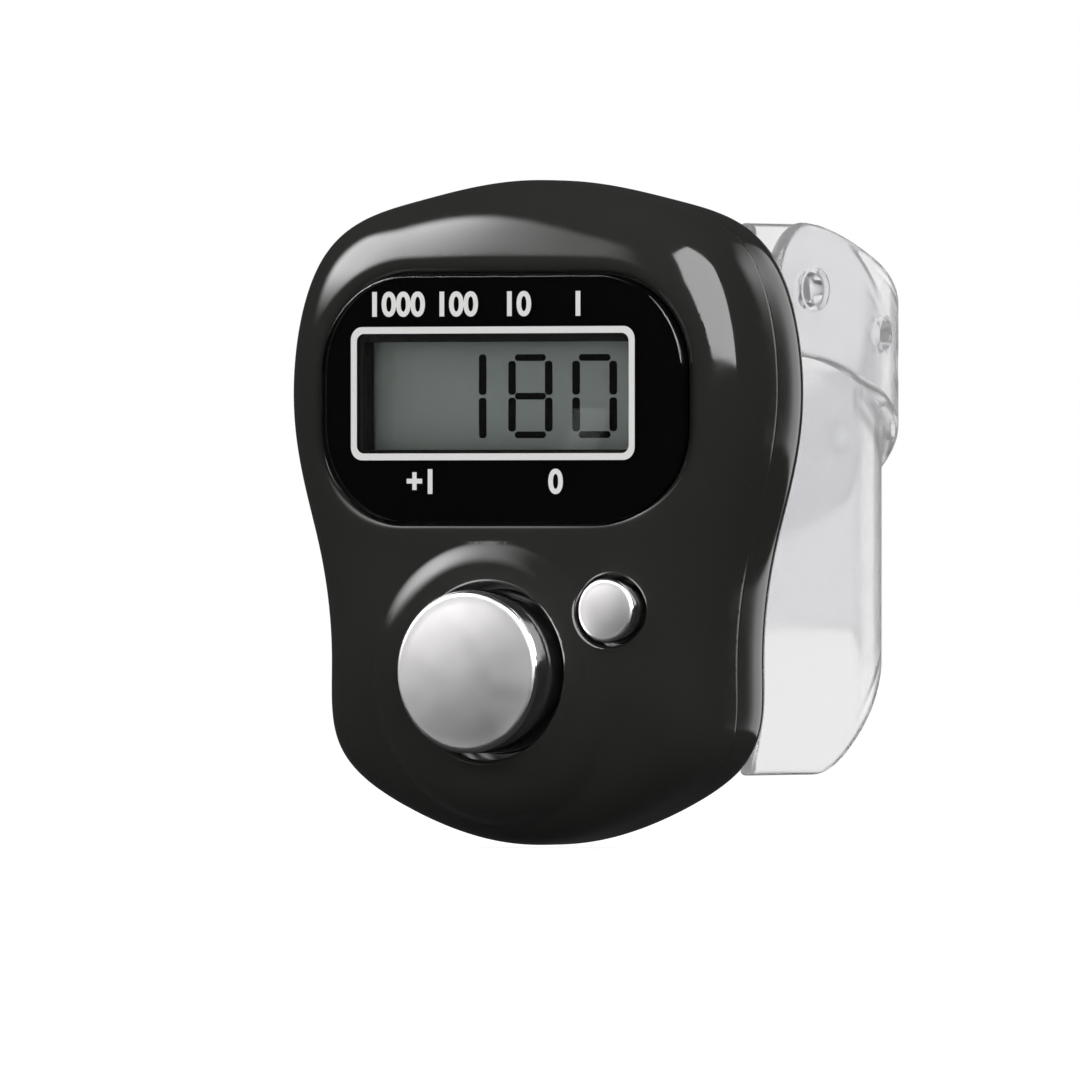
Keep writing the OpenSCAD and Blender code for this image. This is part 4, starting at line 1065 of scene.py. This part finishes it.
paper = {"radius": 2.2, "height": -0.02062, "corners": 96, "shade": "#9c9c9c", "white": 0.93}    # metres


def addFloor():
    # White disc just under the body. Seen directly it is white paper that keeps the shadow. The
    # glossy body doesn't mirror it, because the photograph's black shell shows no floor.
    f = paper
    a = np.linspace(0, 2 * pi, f["corners"], endpoint=False)
    corners = np.stack([f["radius"] * np.cos(a), f["radius"] * np.sin(a), 0 * a + f["height"]], 1)
    mesh = bpy.data.meshes.new("floor")
    mesh.from_pydata(corners, [], [tuple(range(f["corners"]))])
    floor = linked("floor", mesh)
    material, tree, where = newMaterial("paper_white")
    path = addNode(tree, "LightPath")
    shade = addNode(tree, "BsdfDiffuse", {"Color": linear(f["shade"])})
    white = addNode(tree, "Emission", {"Color": (1, 1, 1, 1), "Strength": f["white"]})
    direct = addNode(tree, "AddShader", {}, _0=shade.outputs[0], _1=white.outputs[0])
    sight = clearSight(tree, path, where, -0.02)
    through = addNode(tree, "Emission", {"Color": (1, 1, 1, 1)}, Strength=sight)
    byRay(tree, "OutputMaterial", shade, ((path.outputs["Is Transmission Ray"], through),
                                          (path.outputs["Is Camera Ray"], direct)))
    mesh.materials.append(material)
    floor.visible_glossy = False


# Bright windows of the studio as the glossy pieces mirror them: corners as azimuth and elevation in
# degrees, anticlockwise as seen from the body, and how softly each edge from one to the next fades
studio = {"even": 0.25, "dark": 0.035, "windows": [
    {"level": 4.5, "corners": [(-82, 8), (-16, 10), (-16, 40), (-82, 43)], "soft": [0.3, 0.36, 0.1, 0.2]},
    {"level": 6.8, "corners": [(-84, 8), (-33, 8), (-35, 42), (-84, 44)], "soft": [0.25, 0.3, 0.1, 0.2]},
    {"level": 9, "corners": [(5, 47), (15, 29), (37, 8), (94, 6), (88, 46), (38, 65)], "soft": [0.03] * 6},
    {"level": 1.45, "corners": [(150, -10), (177, -10), (177, 32), (150, 32)],
     "soft": [0.03, 0.03, 0.2, 0.16]}]}


def windowGlow(tree, where, window):
    # Product over the edges of how far the direction lies inside the great circle through two corners
    a, e = np.radians(np.array(window["corners"], float)).T
    corners = np.stack([np.sin(a) * np.cos(e), -np.cos(a) * np.cos(e), np.sin(e)], 1)
    inside = np.cross(corners, np.roll(corners, -1, axis=0))
    inside /= np.linalg.norm(inside, axis=1)[:, None]
    inside *= np.sign((inside * corners.mean(0)).sum(1))[:, None]
    glow = None
    for normal, soft in zip(inside, window["soft"]):
        lean = addNode(tree, "VectorMath", {"operation": "DOT_PRODUCT", 1: normal}, _0=where)
        ramp = addNode(tree, "MapRange", {"interpolation_type": "SMOOTHSTEP", "From Max": soft},
                       Value=lean.outputs["Value"])
        part = addNode(tree, "Math", {"operation": "MULTIPLY", 1: window["level"]}, _0=ramp.outputs[0])
        if glow is not None:
            tree.links.new(glow, part.inputs[1])
        glow = part.outputs[0]
    return glow


def addWorld():
    # White paper all round for what is seen directly or through clear pieces, a dark studio with
    # bright windows for reflections, and an even grey for the plain level of light. A reflection
    # inside a clear piece that leaves towards the front sees the dark studio too.
    world = bpy.data.worlds.new("studio")
    bpy.context.scene.world = world
    tree = emptyTree(world)
    path = addNode(tree, "LightPath")
    where = addNode(tree, "TexCoord").outputs["Generated"]
    glow = addNode(tree, "Value")
    glow.outputs[0].default_value = studio["dark"]
    for window in studio["windows"]:
        glow = addNode(tree, "Math", {"operation": "ADD"}, _0=glow.outputs[0],
                       _1=windowGlow(tree, where, window))
    gloss = addNode(tree, "Background", {"Color": (1, 1, 1, 1)}, Strength=glow.outputs[0])
    even, dark, white = [addNode(tree, "Background", {"Color": (1, 1, 1, 1), "Strength": level})
                         for level in (studio["even"], studio["dark"], 1)]
    through = addNode(tree, "Math", {"operation": "MULTIPLY"}, _0=clearSight(tree, path, where, -0.6),
                      _1=path.outputs["Is Transmission Ray"])
    byRay(tree, "OutputWorld", even, ((path.outputs["Is Glossy Ray"], gloss),
                                      (path.outputs["Is Transmission Ray"], dark),
                                      (through.outputs[0], white), (path.outputs["Is Camera Ray"], white)))


softboxes = {
    "softbox_left": {"azimuth": -48, "elevation": 31, "roll": 0, "aside": -0.02, "above": 0,
                     "width": 0.85, "height": 0.42, "radiance": 4},
    "softbox_right": {"azimuth": 40, "elevation": 35, "roll": 27, "aside": 0.3, "above": 0.02,
                      "width": 0.85, "height": 0.9, "radiance": 3}}


def addSoftbox(name, q, distance=0.5):
    # Area light facing the body. Azimuth is counted from straight in front towards the right; aside,
    # above, width and height are shares of the distance, so that they say how large it looks.
    a, e = radians(q["azimuth"]), radians(q["elevation"])
    out = np.array([sin(a) * cos(e), -cos(a) * cos(e), sin(e)])
    side = np.array([cos(a), sin(a), 0])
    data = bpy.data.lights.new(name, "AREA")
    data.shape, data.size, data.size_y = "RECTANGLE", q["width"] * distance, q["height"] * distance
    data.energy = q["radiance"] * pi * data.size * data.size_y
    lamp = linked(name, data)
    up = np.cross(out, side)
    lamp.location = place((0, 0, 0)) + (out + side * q["aside"] + up * q["above"]) * distance
    turn = (-Vector(out)).to_track_quat("-Z", "Y").to_matrix() @ Matrix.Rotation(radians(q["roll"]), 3, "Z")
    lamp.rotation_euler = turn.to_euler()
    lamp.visible_camera = lamp.visible_transmission = lamp.visible_glossy = False


addCamera()
addFloor()
addWorld()
for name, q in softboxes.items():
    addSoftbox(name, q)
bpy.context.scene.view_settings.view_transform = "Standard"
print("camera and light done")
